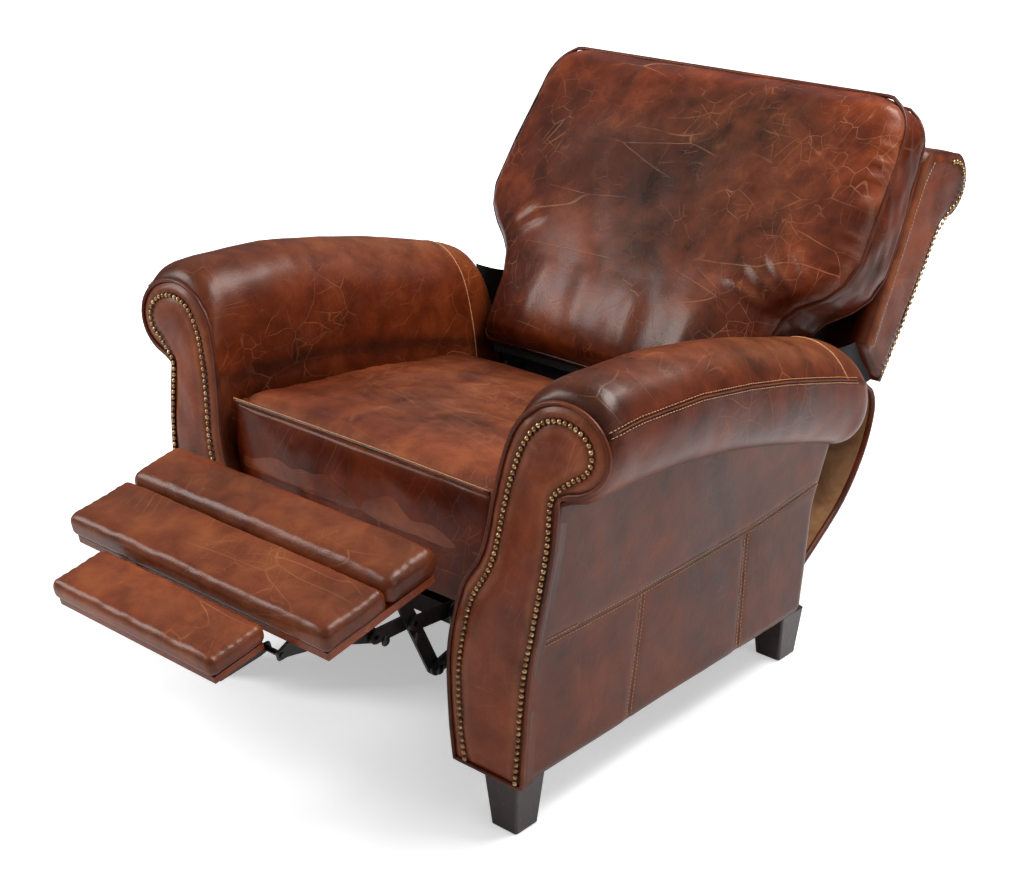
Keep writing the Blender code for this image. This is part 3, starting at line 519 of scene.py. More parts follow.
# ------------------------------------------------------------------ arm covers
# One hide over each rolled arm: from under the roll's outer side, over its top and down the
# inside to the seat, stuffed with hair and cotton.  A double-stitched seam runs along the outside.
arm_leather = leather("antiqued_leather_arms", "2e0e04", "5a210b", "7c3716", "b87a4e", wear=0.75, seed=1.3, gloss=0.05)
CROWN = np.array([(0.00, 0.668), (0.12, 0.671), (0.25, 0.664), (0.37, 0.645), (0.46, 0.626), (0.535, 0.607),
                  (0.60, 0.590), (0.65, 0.575), (0.70, 0.553), (0.74, 0.528)])
SECTION = [(0.392, -0.164), (0.418, -0.163), (0.448, -0.146), (0.468, -0.115), (0.4745, -0.080), (0.468, -0.046),
           (0.447, -0.018), (0.420, -0.004), (0.392, 0.0), (0.362, -0.006), (0.336, -0.024), (0.316, -0.052),
           (0.303, -0.088), (0.294, -0.125), (0.287, -0.170), (0.284, -0.220), (0.284, -0.280), (0.285, -0.345)]
ROLL_REAR = 0.712


def crown(y):
    """Height of the top of an arm along it."""
    return np.interp(y, CROWN[:, 0], CROWN[:, 1])


section = spaced(curve_through(SECTION, 6), count=84)
turned = headings(section)
section_out = np.stack([turned[:, 1], -turned[:, 0]], 1)
along = np.concatenate([np.linspace(0, 0.93, 96), 0.93 + 0.07 * np.sin(np.linspace(0.12, math.pi / 2, 12))])
ROUNDING = 0.030
tight_loop = spaced(facing_loop, pitch=0.002, closed=True)
for side, sign in SIDES:
    front_z = crown(0.05) + section[:, 1]
    nearest = np.argmin(np.hypot(tight_loop[:, :1] - section[None, :, 0], tight_loop[:, 1:] - front_z[None, :]), axis=0)
    edge_x, edge_z = tight_loop[nearest].T
    quarter = np.linspace(0, math.pi / 2, 12)[:-1, None]
    x_first = edge_x + (section[:, 0] - edge_x) * np.sin(quarter)
    z_first = edge_z + (front_z - edge_z) * np.sin(quarter)
    y_first = facing_front(z_first) + 0.006 + ROUNDING * (1 - np.cos(quarter))
    x = np.repeat(section[None, :, 0], len(along), 0)
    drop = np.repeat(section[None, :, 1], len(along), 0)
    start_y = facing_front(front_z) + 0.006 + ROUNDING
    y = start_y[None, :] + (ROLL_REAR - start_y[None, :]) * along[:, None]
    z = crown(y) + drop
    end = np.clip((along - 0.93) / 0.07, 0, 1)[:, None]
    shrink = np.sqrt(np.clip(1 - (end * 0.97) ** 2, 0, 1))
    z = (z - (crown(y) - 0.085)) * shrink + crown(y) - 0.085
    x = (x - 0.385) * (1 - 0.55 * (1 - shrink)) + 0.385
    x, y, z = (np.vstack(pair) for pair in ((x_first, x), (y_first, y), (z_first, z)))
    drop = np.vstack([np.repeat(section[None, :, 1], len(quarter), 0), drop])
    grown = np.concatenate([np.sin(quarter[:, 0]) ** 2, np.ones(len(along))])[:, None]
    rows_n = len(grown)
    points = np.stack([sign * x, y, z], -1).reshape(-1, 3)
    out = np.repeat(section_out[None], rows_n, 0).reshape(-1, 2)
    swell = undulation(points, 31 + sign, 0.0013, 0.19) + undulation(points, 41 + sign, 0.0003, 0.05)
    columns = np.arange(len(section))
    gather = np.sin(columns * 1.15 + 0.6 * np.sin(columns * 0.37))[None, :]
    swell = (swell.reshape(rows_n, -1) * grown + 0.0007 * gather * grown * np.exp(-((y - 0.05) / 0.03) ** 2)).ravel()
    seam_j = int(np.argmin(np.abs(section[:, 0] - 0.4690) + np.abs(section[:, 1] + 0.050)))
    around = np.cumsum(np.linalg.norm(np.diff(section, axis=0, prepend=section[:1]), axis=1))
    seam_gap = np.abs(around - around[seam_j])[None, :] * np.ones_like(x)
    swell -= 0.0022 * np.exp(-(seam_gap.ravel() / 0.006) ** 2)
    points[:, 0] -= sign * out[:, 0] * swell
    points[:, 2] -= out[:, 1] * swell
    faces = grid_faces(rows_n, len(section), flip=sign > 0)
    last = (rows_n - 1) * len(section)
    closing = tuple(last + j for j in range(len(section)))
    faces.append(closing if sign < 0 else closing[::-1])
    cover = piece(f"rolled_arm_cover_{side}", points, faces, arm_leather, "base")
    over_front = np.exp(-((y - 0.06) / 0.11) ** 2) * np.exp(-((section[None, :, 1] + 0.01) / 0.06) ** 2)
    attribute(cover, "shade", 0.45 * over_front.ravel() + 0.75 * np.exp(-(seam_gap.ravel() / 0.0035) ** 2)
              + 0.75 * np.exp(-((section[None, :, 1] + 0.166) / 0.012) ** 2 + 0 * x).ravel())
    attribute(cover, "wear", (np.exp(-((section[None, :, 1]) / 0.03) ** 2 + 0 * x)
                              * (0.35 + 0.65 * np.clip((y - 0.2) / 0.3, 0, 1))).ravel())
    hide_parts(f"arm_roll_{side}", f"inside_arm_{side}")

    surface = points.reshape(rows_n, len(section), 3)
    rows_here = slice(4, 104)
    parts = []
    for beside in (-1, 1):
        line = 0.45 * surface[rows_here, seam_j] + 0.55 * surface[rows_here, seam_j + beside]
        line = spaced(line, pitch=0.0062)
        normal = np.tile([sign * 0.94, 0.0, 0.34], (len(line), 1))
        parts.append(stitches(line + normal * 0.0003, headings(line), normal))
    seam_line = surface[rows_here, seam_j] + [sign * 0.0004, 0, 0.0001]
    piece(f"arm_seam_stitches_{side}", *joined(parts), thread, "base")
    ridge = piece(f"arm_seam_ridge_{side}", *cord_mesh(spaced(seam_line, pitch=0.012), 0.0012, sides=6),
                  welt_leather, "base")
    across_row = int(np.argmin(np.abs(y[:, 40] - 0.625)))
    cross_line = surface[across_row, seam_j:70] + [0.0, 0.0, 0.0002]
    cross = piece(f"arm_cross_seam_{side}", *cord_mesh(cross_line, 0.0011, sides=6), thread, "base")


# ------------------------------------------------------------------ outside arms
# A flat hide on each outer side, over a hardwood frame: it runs from the facing to the rear
# edge, with one double-stitched seam across and two seams down from it to the bottom rail.
panel_leather = leather("antiqued_leather_panels", "310f05", "56220d", "763416", "a86a44", wear=0.35, seed=5.5)
PANEL_X = np.array([(0.085, 0.372), (0.28, 0.374), (0.38, 0.384), (0.45, 0.392), (0.51, 0.398)])
PANEL_REAR = np.array([(0.085, 0.700), (0.25, 0.715), (0.38, 0.740), (0.42, 0.745)])
PANEL_TOP = np.array([(0.0, 0.508), (0.41, 0.506), (0.47, 0.496), (0.53, 0.474), (0.59, 0.450), (0.67, 0.420),
                      (0.75, 0.405)])
CROSS_SEAM = np.array([(0.0, 0.294), (0.245, 0.290), (0.534, 0.294), (0.724, 0.311)])
DOWN_SEAMS = (np.array([(0.103, 0.238), (0.290, 0.262)]), np.array([(0.090, 0.514), (0.294, 0.521)]))

across, upward = np.linspace(0, 1, 110), np.linspace(0, 1, 76)
for side, sign in SIDES:
    y_first = facing_front(0.3) + 0.02 + across * 0.70
    top = np.interp(y_first, PANEL_TOP[:, 0], PANEL_TOP[:, 1])
    z = 0.0856 + (top[None, :] - 0.0856) * upward[:, None]
    front_y = facing_front(z) + 0.006
    rear_y = np.interp(z, PANEL_REAR[:, 0], PANEL_REAR[:, 1])
    y = front_y + (rear_y - front_y) * across[None, :]
    x = np.interp(z, PANEL_X[:, 0], PANEL_X[:, 1])
    edge = np.minimum((rear_y - y), 1.0)
    x = x - 0.006 * np.exp(-(edge / 0.007) ** 2) - 0.003 * np.exp(-((z - 0.0856) / 0.006) ** 2)
    gap = np.abs(z - np.interp(y, CROSS_SEAM[:, 0], CROSS_SEAM[:, 1]))
    for seam in DOWN_SEAMS:
        aside = np.abs(y - np.interp(z, seam[:, 0], seam[:, 1])) + 10 * np.clip(z - seam[-1, 0], 0, 1)
        gap = np.minimum(gap, aside)
    flat = np.stack([sign * x, y, z], -1).reshape(-1, 3)
    x = x + (undulation(flat, 51 + sign, 0.0010, 0.20) + undulation(flat, 61 + sign, 0.0002, 0.05)).reshape(x.shape)
    x = x - 0.0018 * np.exp(-(gap / 0.007) ** 2)
    outer = np.stack([sign * x, y, z], -1)
    inner = outer.copy()
    inner[..., 0] = sign * 0.352
    points, faces = shell(outer, inner)
    faces = faces if sign < 0 else [f[::-1] for f in faces]
    half = x.size
    panel = piece(f"outside_arm_hide_{side}", points, faces, panel_leather, "base")
    attribute(panel, "shade", np.concatenate([(0.6 * np.exp(-(gap / 0.0035) ** 2) + 0.75 * np.exp(
        -((z - np.interp(y, PANEL_TOP[:, 0], PANEL_TOP[:, 1])) / 0.012) ** 2)).ravel(), np.zeros(half)]))
    attribute(panel, "wear", np.concatenate([(0.7 * np.exp(-(edge / 0.008) ** 2)
                                              + 0.5 * np.exp(-((gap - 0.009) / 0.004) ** 2)).ravel(), np.zeros(half)]))
    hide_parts(f"outside_arm_{side}")

    z_strip = np.linspace(0.0856, 0.412, 40)
    y_strip = np.interp(z_strip, PANEL_REAR[:, 0], PANEL_REAR[:, 1])
    x_strip = np.interp(z_strip, PANEL_X[:, 0], PANEL_X[:, 1]) - 0.005
    inward = np.linspace(0, 1, 14)
    strip_x = x_strip[:, None] + (0.285 - x_strip[:, None]) * inward[None, :]
    strip_y = y_strip[:, None] - 0.004 + 0.003 * np.sin(math.pi * inward)[None, :]
    rear_face = np.stack([sign * strip_x, strip_y, np.repeat(z_strip[:, None], len(inward), 1)], -1)
    points, faces = shell(rear_face, rear_face - [0.0, 0.004, 0.0])
    faces = faces if sign > 0 else [f[::-1] for f in faces]
    strip = piece(f"arm_rear_strip_{side}", points, faces, panel_leather, "base")

    parts, lines = [], []
    y_run = np.linspace(0.045, 0.715, 120)
    seam_z = np.interp(y_run, CROSS_SEAM[:, 0], CROSS_SEAM[:, 1])
    for offset in (-0.0045, 0.0045):
        lines.append(np.stack([np.interp(seam_z + offset, PANEL_X[:, 0], PANEL_X[:, 1]), y_run, seam_z + offset], 1))
    for seam in DOWN_SEAMS:
        z_run = np.linspace(0.096, 0.284, 40)
        y_seam = np.interp(z_run, seam[:, 0], seam[:, 1])
        for offset in (-0.0045, 0.0045):
            lines.append(np.stack([np.interp(z_run, PANEL_X[:, 0], PANEL_X[:, 1]), y_seam + offset, z_run], 1))
    grid_y, grid_z = outer[..., 1], outer[..., 2]
    for line in lines:
        line = spaced(line, pitch=0.0064)
        reach = []
        for px, py, pz in line:
            near = np.argmin((grid_y - py) ** 2 + (grid_z - pz) ** 2)
            reach.append(np.abs(outer.reshape(-1, 3)[near, 0]))
        line[:, 0] = sign * (np.array(reach) + 0.0003)
        normal = np.tile([sign * 1.0, 0.0, 0.0], (len(line), 1))
        parts.append(stitches(line, headings(line), normal))
    piece(f"outside_arm_stitches_{side}", *joined(parts), thread, "base")


# ------------------------------------------------------------------ seat
# A loose-looking foam and feather cushion, crowned towards its middle, with a piped front edge
# over a sewn-on leather border that hangs in front of the seat rail.
def cushion_box(half, radius, cells, curl=5):
    """Points and faces of a box with rounded edges: a grid on each side of a box, each point
    moved to its radius from the nearest point of a box smaller by that radius."""
    def ticks(h, n):
        core = np.linspace(-(h - radius), h - radius, n + 1)
        bend = radius * np.tan(np.linspace(0, math.pi / 4, curl + 1)[1:])
        return np.concatenate([-(h - radius) - bend[::-1], core, h - radius + bend])
    axes = [ticks(h, n) for h, n in zip(half, cells)]
    index, points, faces = {}, [], []

    def number(key):
        if key not in index:
            index[key] = len(points)
            points.append([axes[k][key[k]] for k in range(3)])
        return index[key]
    for axis in range(3):
        u, v = (axis + 1) % 3, (axis + 2) % 3
        for end in (0, len(axes[axis]) - 1):
            for i in range(len(axes[u]) - 1):
                for j in range(len(axes[v]) - 1):
                    quad = []
                    for a, b in ((i, j), (i + 1, j), (i + 1, j + 1), (i, j + 1)):
                        key = [0, 0, 0]
                        key[axis], key[u], key[v] = end, a, b
                        quad.append(number(tuple(key)))
                    faces.append(tuple(quad if end else quad[::-1]))
    points = np.array(points)
    core = np.clip(points, -(np.array(half) - radius), np.array(half) - radius)
    away = points - core
    away /= np.maximum(np.linalg.norm(away, axis=1, keepdims=True), 1e-9)
    return core + radius * away, faces, away


def fold(u, v, start, end, width, height):
    """A soft fold between two points of a surface: a bell across its line that dies out at both ends."""
    a, b = np.array(start, float), np.array(end, float)
    run = b - a
    length = np.linalg.norm(run)
    run /= length
    p = np.stack([u - a[0], v - a[1]], -1)
    t = (p @ run) / length
    across_it = p @ np.array([-run[1], run[0]])
    fade_out = np.clip(np.minimum(t, 1 - t) / 0.35, 0, 1)
    return height * np.exp(-(across_it / width) ** 2) * fade_out ** 2 * (3 - 2 * fade_out)


seat_leather = leather("antiqued_leather_seat", "361209", "642913", "8a4423", "c48c64", wear=0.7, seed=7.9, gloss=0.07)
TILT = math.radians(7.0)
SEAT_FRONT, SEAT_LONG, SEAT_HALF, SEAT_DEEP = (0.066, 0.487), 0.500, 0.270, 0.130


def seat_point(along, below, x):
    """Drawing coordinates of a point on the seat: along it from its front edge, and below its top."""
    return np.stack([x, SEAT_FRONT[0] + along * math.cos(TILT) - below * math.sin(TILT),
                     SEAT_FRONT[1] - along * math.sin(TILT) - below * math.cos(TILT)], -1)


local, faces, away = cushion_box((SEAT_HALF, SEAT_LONG / 2, SEAT_DEEP / 2), 0.026, (84, 78, 10))
u, v, w = local[:, 0], local[:, 1] + SEAT_LONG / 2, local[:, 2]
upper = np.clip(away[:, 2], 0, 1)
crowned = (1 - (u / SEAT_HALF) ** 4) * (1 - (2 * v / SEAT_LONG - 1) ** 4)
rise = 0.017 * crowned * upper
rise += fold(u, v, (-0.20, 0.05), (-0.05, 0.42), 0.022, -0.002) * upper
rise += fold(u, v, (0.22, 0.02), (0.12, 0.40), 0.020, -0.002) * upper
rise += fold(u, v, (-0.24, 0.32), (0.20, 0.44), 0.018, 0.0025) * upper
rise += fold(u, v, (-0.10, 0.02), (0.02, 0.30), 0.016, 0.0015) * upper
rise += (undulation(local, 71, 0.0014, 0.14) + undulation(local, 72, 0.0003, 0.04)) * upper
pull = np.exp(-((SEAT_HALF - np.abs(u)) / 0.03) ** 2) * np.sin(v * 150 + np.sin(v * 43)) * 0.0010 * upper
points = seat_point(v, SEAT_DEEP / 2 - w - rise - pull, u)
points[:, 1] -= 0.008 * np.clip(-away[:, 1], 0, 1) * (1 - (u / SEAT_HALF) ** 4) * (1 - (2 * w / SEAT_DEEP) ** 4)
cushion = piece("seat_cushion_leather", points, faces, seat_leather, "seat")
attribute(cushion, "wear", 0.55 * crowned ** 3 * upper + 0.8 * np.exp(-((v - 0.004) / 0.012) ** 2) * upper)
attribute(cushion, "shade", 0.7 * np.clip(np.abs(u) / SEAT_HALF - 0.93, 0, 0.07) / 0.07
          + 0.55 * np.clip((v - 0.30) / 0.14, 0, 1))
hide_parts("seat_cushion")

BORDER_TOP, BORDER_BOTTOM, BORDER_FRONT = 0.478, 0.288, 0.0555
border_leather = leather("antiqued_leather_border", "2c0c03", "521a06", "742c0e", "b0744a", wear=0.55, seed=12.4,
                         gloss=0.05, shine=0.12)
local, faces, away = cushion_box((SEAT_HALF, 0.014, (BORDER_TOP - BORDER_BOTTOM) / 2), 0.009, (90, 2, 44))
u, depth, h = local.T
ahead = np.clip(-away[:, 1], 0, 1)
bulge = 0.007 * (1 - (u / SEAT_HALF) ** 6) * (1 - (2 * h / (BORDER_TOP - BORDER_BOTTOM)) ** 4)
bulge += undulation(local, 81, 0.0012, 0.15) + undulation(local, 82, 0.0003, 0.05)
bulge += fold(u, h, (-0.15, 0.09), (-0.11, -0.06), 0.020, 0.0015)
bulge += fold(u, h, (0.10, 0.09), (0.13, -0.05), 0.020, 0.0012)
centre_z = (BORDER_TOP + BORDER_BOTTOM) / 2
points = np.stack([u, BORDER_FRONT + 0.014 + depth - bulge * ahead, centre_z + h], 1)
border = piece("seat_front_border", points, faces, border_leather, "seat")
attribute(border, "wear", 0.8 * np.exp(-((h - 0.094) / 0.008) ** 2))
attribute(border, "shade", 0.5 * np.exp(-((h + 0.09) / 0.02) ** 2)
          + 0.6 * np.clip(np.abs(u) / SEAT_HALF - 0.94, 0, 0.06) / 0.06)
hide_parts("seat_apron")

run = np.linspace(-SEAT_HALF + 0.006, SEAT_HALF - 0.006, 60)
edge_line = np.stack([run, np.full(60, BORDER_FRONT - 0.002), np.full(60, BORDER_TOP + 0.003)
                      + 0.002 * np.cos(run * 6)], 1)
piping = piece("seat_front_piping", *cord_mesh(edge_line, 0.0034), welt_leather, "seat")
tan_line = edge_line + [0.0, -0.0012, 0.0034]
piece("seat_front_tan_seam", *cord_mesh(tan_line, 0.0008, sides=6), thread, "seat")


# ------------------------------------------------------------------ back cushion
# A T-shaped cushion of foam wrapped in fibre: narrow between the arms, with ears over them,
# thick at its foot and thin at its head.  It is boxed, with piping along both edges of the box.
back_leather = leather("antiqued_leather_back_cushion", "2a0d06", "5a200c", "8c3e1a", "c88c62", wear=1.0, seed=15.2,
                       gloss=0.08)
boxing_leather = leather("antiqued_leather_boxing", "2c0d03", "581f08", "80360e", "b87c50", wear=0.6, seed=18.6, gloss=0.05)
LEAN = math.radians(26.565)
BACK_FOOT = (0.846, 0.507)
CUSHION_LOW, CUSHION_HIGH = -0.163, 0.385


def back_point(x, up, behind):
    """Drawing coordinates of a point given along the back frame's front and behind it."""
    x, up, behind = np.broadcast_arrays(x, up, behind)
    return np.stack([x, BACK_FOOT[0] + up * math.sin(LEAN) + behind * math.cos(LEAN),
                     BACK_FOOT[1] + up * math.cos(LEAN) - behind * math.sin(LEAN)], -1)


def cushion_half(up, left=0.0):
    """Half width of the back cushion along its height; its left ear hangs a little fuller."""
    heights = [-0.163, -0.05, -0.005, 0.018, 0.045, 0.072, 0.110, 0.20, 0.310]
    plan = np.interp(up, heights, [0.266, 0.271, 0.280, 0.297, 0.338, 0.362, 0.374, 0.375, 0.369])
    fuller = np.interp(up, heights, [0.278, 0.288, 0.304, 0.322, 0.352, 0.374, 0.387, 0.382, 0.369])
    corner = np.clip((up - 0.310) / (CUSHION_HIGH - 0.310), 0, 0.998)
    return plan + (fuller - plan) * left - 0.062 * (1 - np.sqrt(1 - corner ** 2))


def cushion_thick(up):
    """Thickness of the back cushion along its height."""
    return np.interp(up, [-0.163, 0.0, 0.2, 0.385], [0.176, 0.148, 0.120, 0.094])


local, faces, away = cushion_box((0.30, (CUSHION_HIGH - CUSHION_LOW) / 2, 0.06), 0.028, (104, 94, 8), curl=8)
share = local[:, 0] / 0.30
up = local[:, 1] + (CUSHION_HIGH + CUSHION_LOW) / 2
thick = cushion_thick(up)
half = cushion_half(np.clip(up, CUSHION_LOW, CUSHION_HIGH), (share < 0).astype(float))
x = share * half
depth = (local[:, 2] / 0.06 + 1) / 2
face_on = np.clip(away[:, 2], 0, 1)
height_share = (up - CUSHION_LOW) / (CUSHION_HIGH - CUSHION_LOW)
crowned = (1 - share ** 4) * (1 - (2 * height_share - 1) ** 6)
rise = 0.026 * crowned * face_on + 0.008 * np.exp(-((up + 0.02) / 0.10) ** 2) * crowned * face_on
soft = np.zeros_like(x)
for start, end, width, height in (
        ((-0.19, -0.17), (-0.16, 0.03), 0.024, 0.0025), ((-0.06, -0.17), (-0.09, 0.05), 0.026, 0.0025),
        ((0.04, -0.17), (0.03, 0.00), 0.022, 0.0025), ((0.14, -0.17), (0.16, 0.03), 0.022, 0.0025),
        ((0.285, 0.020), (0.205, 0.075), 0.007, 0.005), ((0.300, 0.035), (0.235, 0.100), 0.007, 0.005),
        ((0.265, 0.005), (0.180, 0.040), 0.007, 0.005), ((0.325, 0.055), (0.275, 0.115), 0.006, 0.004),
        ((-0.285, 0.020), (-0.205, 0.075), 0.008, 0.004), ((-0.300, 0.035), (-0.235, 0.100), 0.008, 0.004),
        ((0.36, 0.30), (0.20, 0.27), 0.009, -0.002), ((-0.34, 0.30), (0.02, 0.345), 0.012, -0.002),
        ((-0.05, 0.38), (-0.02, 0.29), 0.010, 0.0025), ((0.12, 0.38), (0.10, 0.30), 0.009, 0.0025),
        ((0.22, 0.38), (0.19, 0.31), 0.008, 0.0025), ((-0.16, 0.38), (-0.14, 0.31), 0.009, 0.002)):
    soft += fold(x, up, start, end, width, height)
edge_in = np.maximum(half - np.abs(x), 0.0)
ruffle = np.clip(np.sin(up * 165 + 2.2 * np.sin(up * 43 + share)), 0, 1) ** 1.5
soft += 0.0042 * ruffle * np.exp(-(edge_in / 0.030) ** 2) * np.clip((up - 0.06) / 0.05, 0, 1) * np.clip(edge_in / 0.006, 0, 1)
rise += soft * face_on
rise += (undulation(local, 91, 0.0020, 0.17) + undulation(local, 92, 0.0004, 0.05)) * face_on
side_swell = 0.006 * (1 - np.abs(away[:, 2])) * (1 - (2 * depth - 1) ** 2) * np.clip(np.abs(away[:, 0]), 0, 1)
x = x + np.sign(x) * (side_swell + undulation(local * [1, 1, 2], 95, 0.0015, 0.05) * np.abs(away[:, 0]))
points = back_point(x, up + 0.004 * away[:, 1] * (1 - (2 * depth - 1) ** 2), -(depth * thick + rise))
on_box = (away[:, 2] < 0.30).astype(float)
cushion = piece("back_cushion_leather", points, faces, [back_leather, boxing_leather], "back")
boxed = np.array([1 if all(on_box[i] for i in f) else 0 for f in faces], np.int32)
cushion.data.polygons.foreach_set("material_index", boxed)
# Paler crown and edges for worn leather, and painted highlight: stronger towards the right side and on the ridges of
# the folds and puckers.
attribute(cushion, "wear", 0.5 * crowned ** 2 * face_on * (0.3 + 0.7 * height_share) * (1 + 0.6 * share)
          + np.clip(soft / 0.006, 0, 1) * 0.6
          + 0.5 * np.exp(-((1 - np.abs(share)) / 0.03) ** 2) * face_on)
# Darker towards the centre left of the face; painted shade in the hollows of the folds and towards the rear of the
# boxing.
darker_centre_left = np.exp(-((x + 0.06) / 0.17) ** 2 - ((up - 0.17) / 0.08) ** 2) * face_on
attribute(cushion, "shade", 0.85 * darker_centre_left + 0.4 * np.clip(-soft / 0.006, 0, 1)
          + 0.5 * np.exp(-((depth - 0.1) / 0.1) ** 2) * on_box)
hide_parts("back_cushion")

ups = np.concatenate([np.linspace(CUSHION_LOW + 0.004, 0.318, 90),
                      0.318 + 0.0595 * np.sin(np.linspace(0.05, math.pi / 2, 16))])
right = np.stack([cushion_half(ups), ups], 1)
top_x = np.linspace(right[-1, 0], -right[-1, 0], 60)[1:-1]
over = np.stack([top_x, np.full(len(top_x), CUSHION_HIGH)], 1)
left = np.stack([-cushion_half(ups, 1.0), ups], 1)
bottom_x = np.linspace(left[0, 0], right[0, 0], 50)[1:-1]
under = np.stack([bottom_x, np.full(len(bottom_x), CUSHION_LOW)], 1)
loop = spaced(np.vstack([right, over, left[::-1], under]), pitch=0.010, closed=True)
for name, at_depth, radius in (("front", 0.835, 0.0034), ("rear", 0.16, 0.0028)):
    way = headings(loop, closed=True)
    out = np.stack([way[:, 1], -way[:, 0]], 1) * 0.0015
    route = back_point(loop[:, 0] + out[:, 0], loop[:, 1] + out[:, 1], -(cushion_thick(loop[:, 1]) * at_depth))
    piping = piece(f"back_cushion_{name}_piping", *cord_mesh(route, radius, closed=True, up=(0, -1, 0.3)),
                   welt_leather, "back")


# ------------------------------------------------------------------ back frame covers
# The frame behind the cushion, rolled over at its head.  Leather is wrapped round it and pleated
# into the ends of the roll, where a panel closes each side, edged with the same domed nails.
SCROLL_AT, SCROLL_R = (0.3019, 0.1163), 0.055
frame_leather = leather("antiqued_leather_back_frame", "300f06", "5e240c", "823a18", "b87a4e", wear=0.6, seed=21.8, gloss=0.03)
BACK_SIDE_X = 0.370


def scroll_arc(start, end, count, radius=SCROLL_R):
    """(up, behind) on the roll's circle between two angles in degrees; 0 points straight up the
    frame and 90 straight behind it."""
    a = np.radians(np.linspace(start, end, count))
    return np.stack([SCROLL_AT[0] + radius * np.cos(a), SCROLL_AT[1] + radius * np.sin(a)], 1)


rear_route = np.vstack([curve_through([(-0.0456, 0.0932), (0.06, 0.106), (0.16, 0.117), (0.232, 0.124)], 8)[:-1],
                        curve_through([(0.232, 0.124), (0.246, 0.130), (0.252, 0.138)], 3)[:-1],
                        scroll_arc(154, 0, 34)])
front_route = np.vstack([curve_through([(0.0, 0.002), (0.15, 0.002), (0.31, 0.002)], 20)[:-1],
                         curve_through([(0.31, 0.002), (0.330, 0.014), (0.338, 0.040), (0.348, 0.075), (0.3569, 0.1163)], 6)])
rear_route, front_route = spaced(rear_route, count=80), spaced(front_route, count=80)
end_loop = np.vstack([front_route, rear_route[::-1][1:]])
share = 0.5 - 0.5 * np.cos(math.pi * np.linspace(0, 1, 28))
patch = front_route[:, None] + (rear_route - front_route)[:, None] * share[None, :, None]
spots = patch.reshape(-1, 2)
inside = distance_to(spots, end_loop, closed=True)
nail_line = np.vstack([curve_through([(-0.030, 0.080), (0.06, 0.094), (0.16, 0.106), (0.226, 0.112)], 6)[:-1],
                       scroll_arc(150, -28, 20, radius=0.040)])
nail_spots = spaced(nail_line, pitch=0.0105)
near_nails = distance_to(spots, nail_line)
stitch_line = curve_through([(0.004, 0.020), (0.15, 0.020), (0.27, 0.021), (0.315, 0.030)], 8)
for side, sign in SIDES:
    swell = 0.005 * (1 - np.exp(-(inside / 0.012) ** 2)) - 0.005 - 0.0015 * np.exp(-(near_nails / 0.006) ** 2)
    lumps = undulation(np.stack([spots[:, 0], spots[:, 1], spots[:, 0] * sign], 1), 101 + sign, 0.0010, 0.06)
    swell += lumps * np.clip(inside / 0.02, 0, 1) + 0.004 * np.exp(-((spots[:, 1] - 0.010) / 0.010) ** 2)
    outer = back_point(sign * (BACK_SIDE_X + swell), spots[:, 0], spots[:, 1])
    inner = back_point(np.full(len(spots), sign * (BACK_SIDE_X - 0.035)), spots[:, 0], spots[:, 1])
    shape = (*patch.shape[:2], 3)
    points, faces = shell(outer.reshape(shape), inner.reshape(shape))
    faces = faces if sign > 0 else [f[::-1] for f in faces]
    panel = piece(f"back_end_panel_{side}", points, faces, frame_leather, "back")
    attribute(panel, "shade", np.concatenate([0.7 * np.exp(-(near_nails / 0.006) ** 2)
                                              + 0.6 * np.exp(-(inside / 0.004) ** 2), np.zeros(len(inner))]))
    attribute(panel, "wear", np.concatenate([0.7 * np.exp(-((spots[:, 1] - 0.008) / 0.008) ** 2)
                                             + 0.5 * np.exp(-((inside - 0.008) / 0.004) ** 2), np.zeros(len(inner))]))
    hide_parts(f"back_side_{side}")
    at = back_point(np.full(len(nail_spots), sign * (BACK_SIDE_X + 0.0002)), nail_spots[:, 0], nail_spots[:, 1])
    piece(f"back_end_nails_{side}", *domes(at, np.tile([sign * 1.0, 0, 0], (len(at), 1)), 0.0040, 0.0031), brass, "back")
    line = spaced(stitch_line, pitch=0.0064)
    at = back_point(np.full(len(line), sign * (BACK_SIDE_X + 0.0016)), line[:, 0], line[:, 1])
    piece(f"back_end_stitches_{side}", *stitches(at, headings(at), np.tile([sign * 1.0, 0, 0], (len(at), 1))),
          thread, "back")

wrap = np.vstack([rear_route, front_route[::-1][1:]])
wrap = spaced(wrap[: len(rear_route) + 36], count=130)
turned = headings(wrap)
wrap_out = np.stack([-turned[:, 1], turned[:, 0]], 1)
across = np.concatenate([-1 + 0.16 * np.linspace(0, 1, 26), np.linspace(-0.83, 0.83, 44), 1 - 0.16 * np.linspace(1, 0, 26)])
x = np.repeat(across[None, :] * (BACK_SIDE_X - 0.004), len(wrap), 0)
from_end = (1 - np.abs(across))[None, :] * BACK_SIDE_X
around = np.concatenate([[0], np.cumsum(np.linalg.norm(np.diff(wrap, axis=0), axis=1))])[:, None]
near_scroll = np.clip((wrap[:, 0] - 0.235) / 0.02, 0, 1)[:, None]
rise = -0.007 * np.exp(-(from_end / 0.008) ** 2) * near_scroll - 0.004 * np.exp(-(from_end / 0.006) ** 2)
rise = rise + 0.0016 * np.sin(around / 0.011 * 2 * math.pi + 3 * np.sin(around * 41)) * np.exp(-(from_end / 0.022) ** 2) * near_scroll
flat = np.stack([x, around + 0 * x, 0 * x], -1).reshape(-1, 3)
rise = rise + (undulation(flat, 111, 0.0016, 0.12) + undulation(flat, 112, 0.0005, 0.04)).reshape(x.shape)
up = wrap[:, 0][:, None] + wrap_out[:, 0][:, None] * rise
behind = wrap[:, 1][:, None] + wrap_out[:, 1][:, None] * rise
outer = back_point(x, up, behind)
inner = back_point(x, wrap[:, 0][:, None] - wrap_out[:, 0][:, None] * 0.010, wrap[:, 1][:, None] - wrap_out[:, 1][:, None] * 0.010)
points, faces = shell(outer, inner)
half = x.size
wrapped = piece("back_frame_wrap", points, faces, frame_leather, "back")
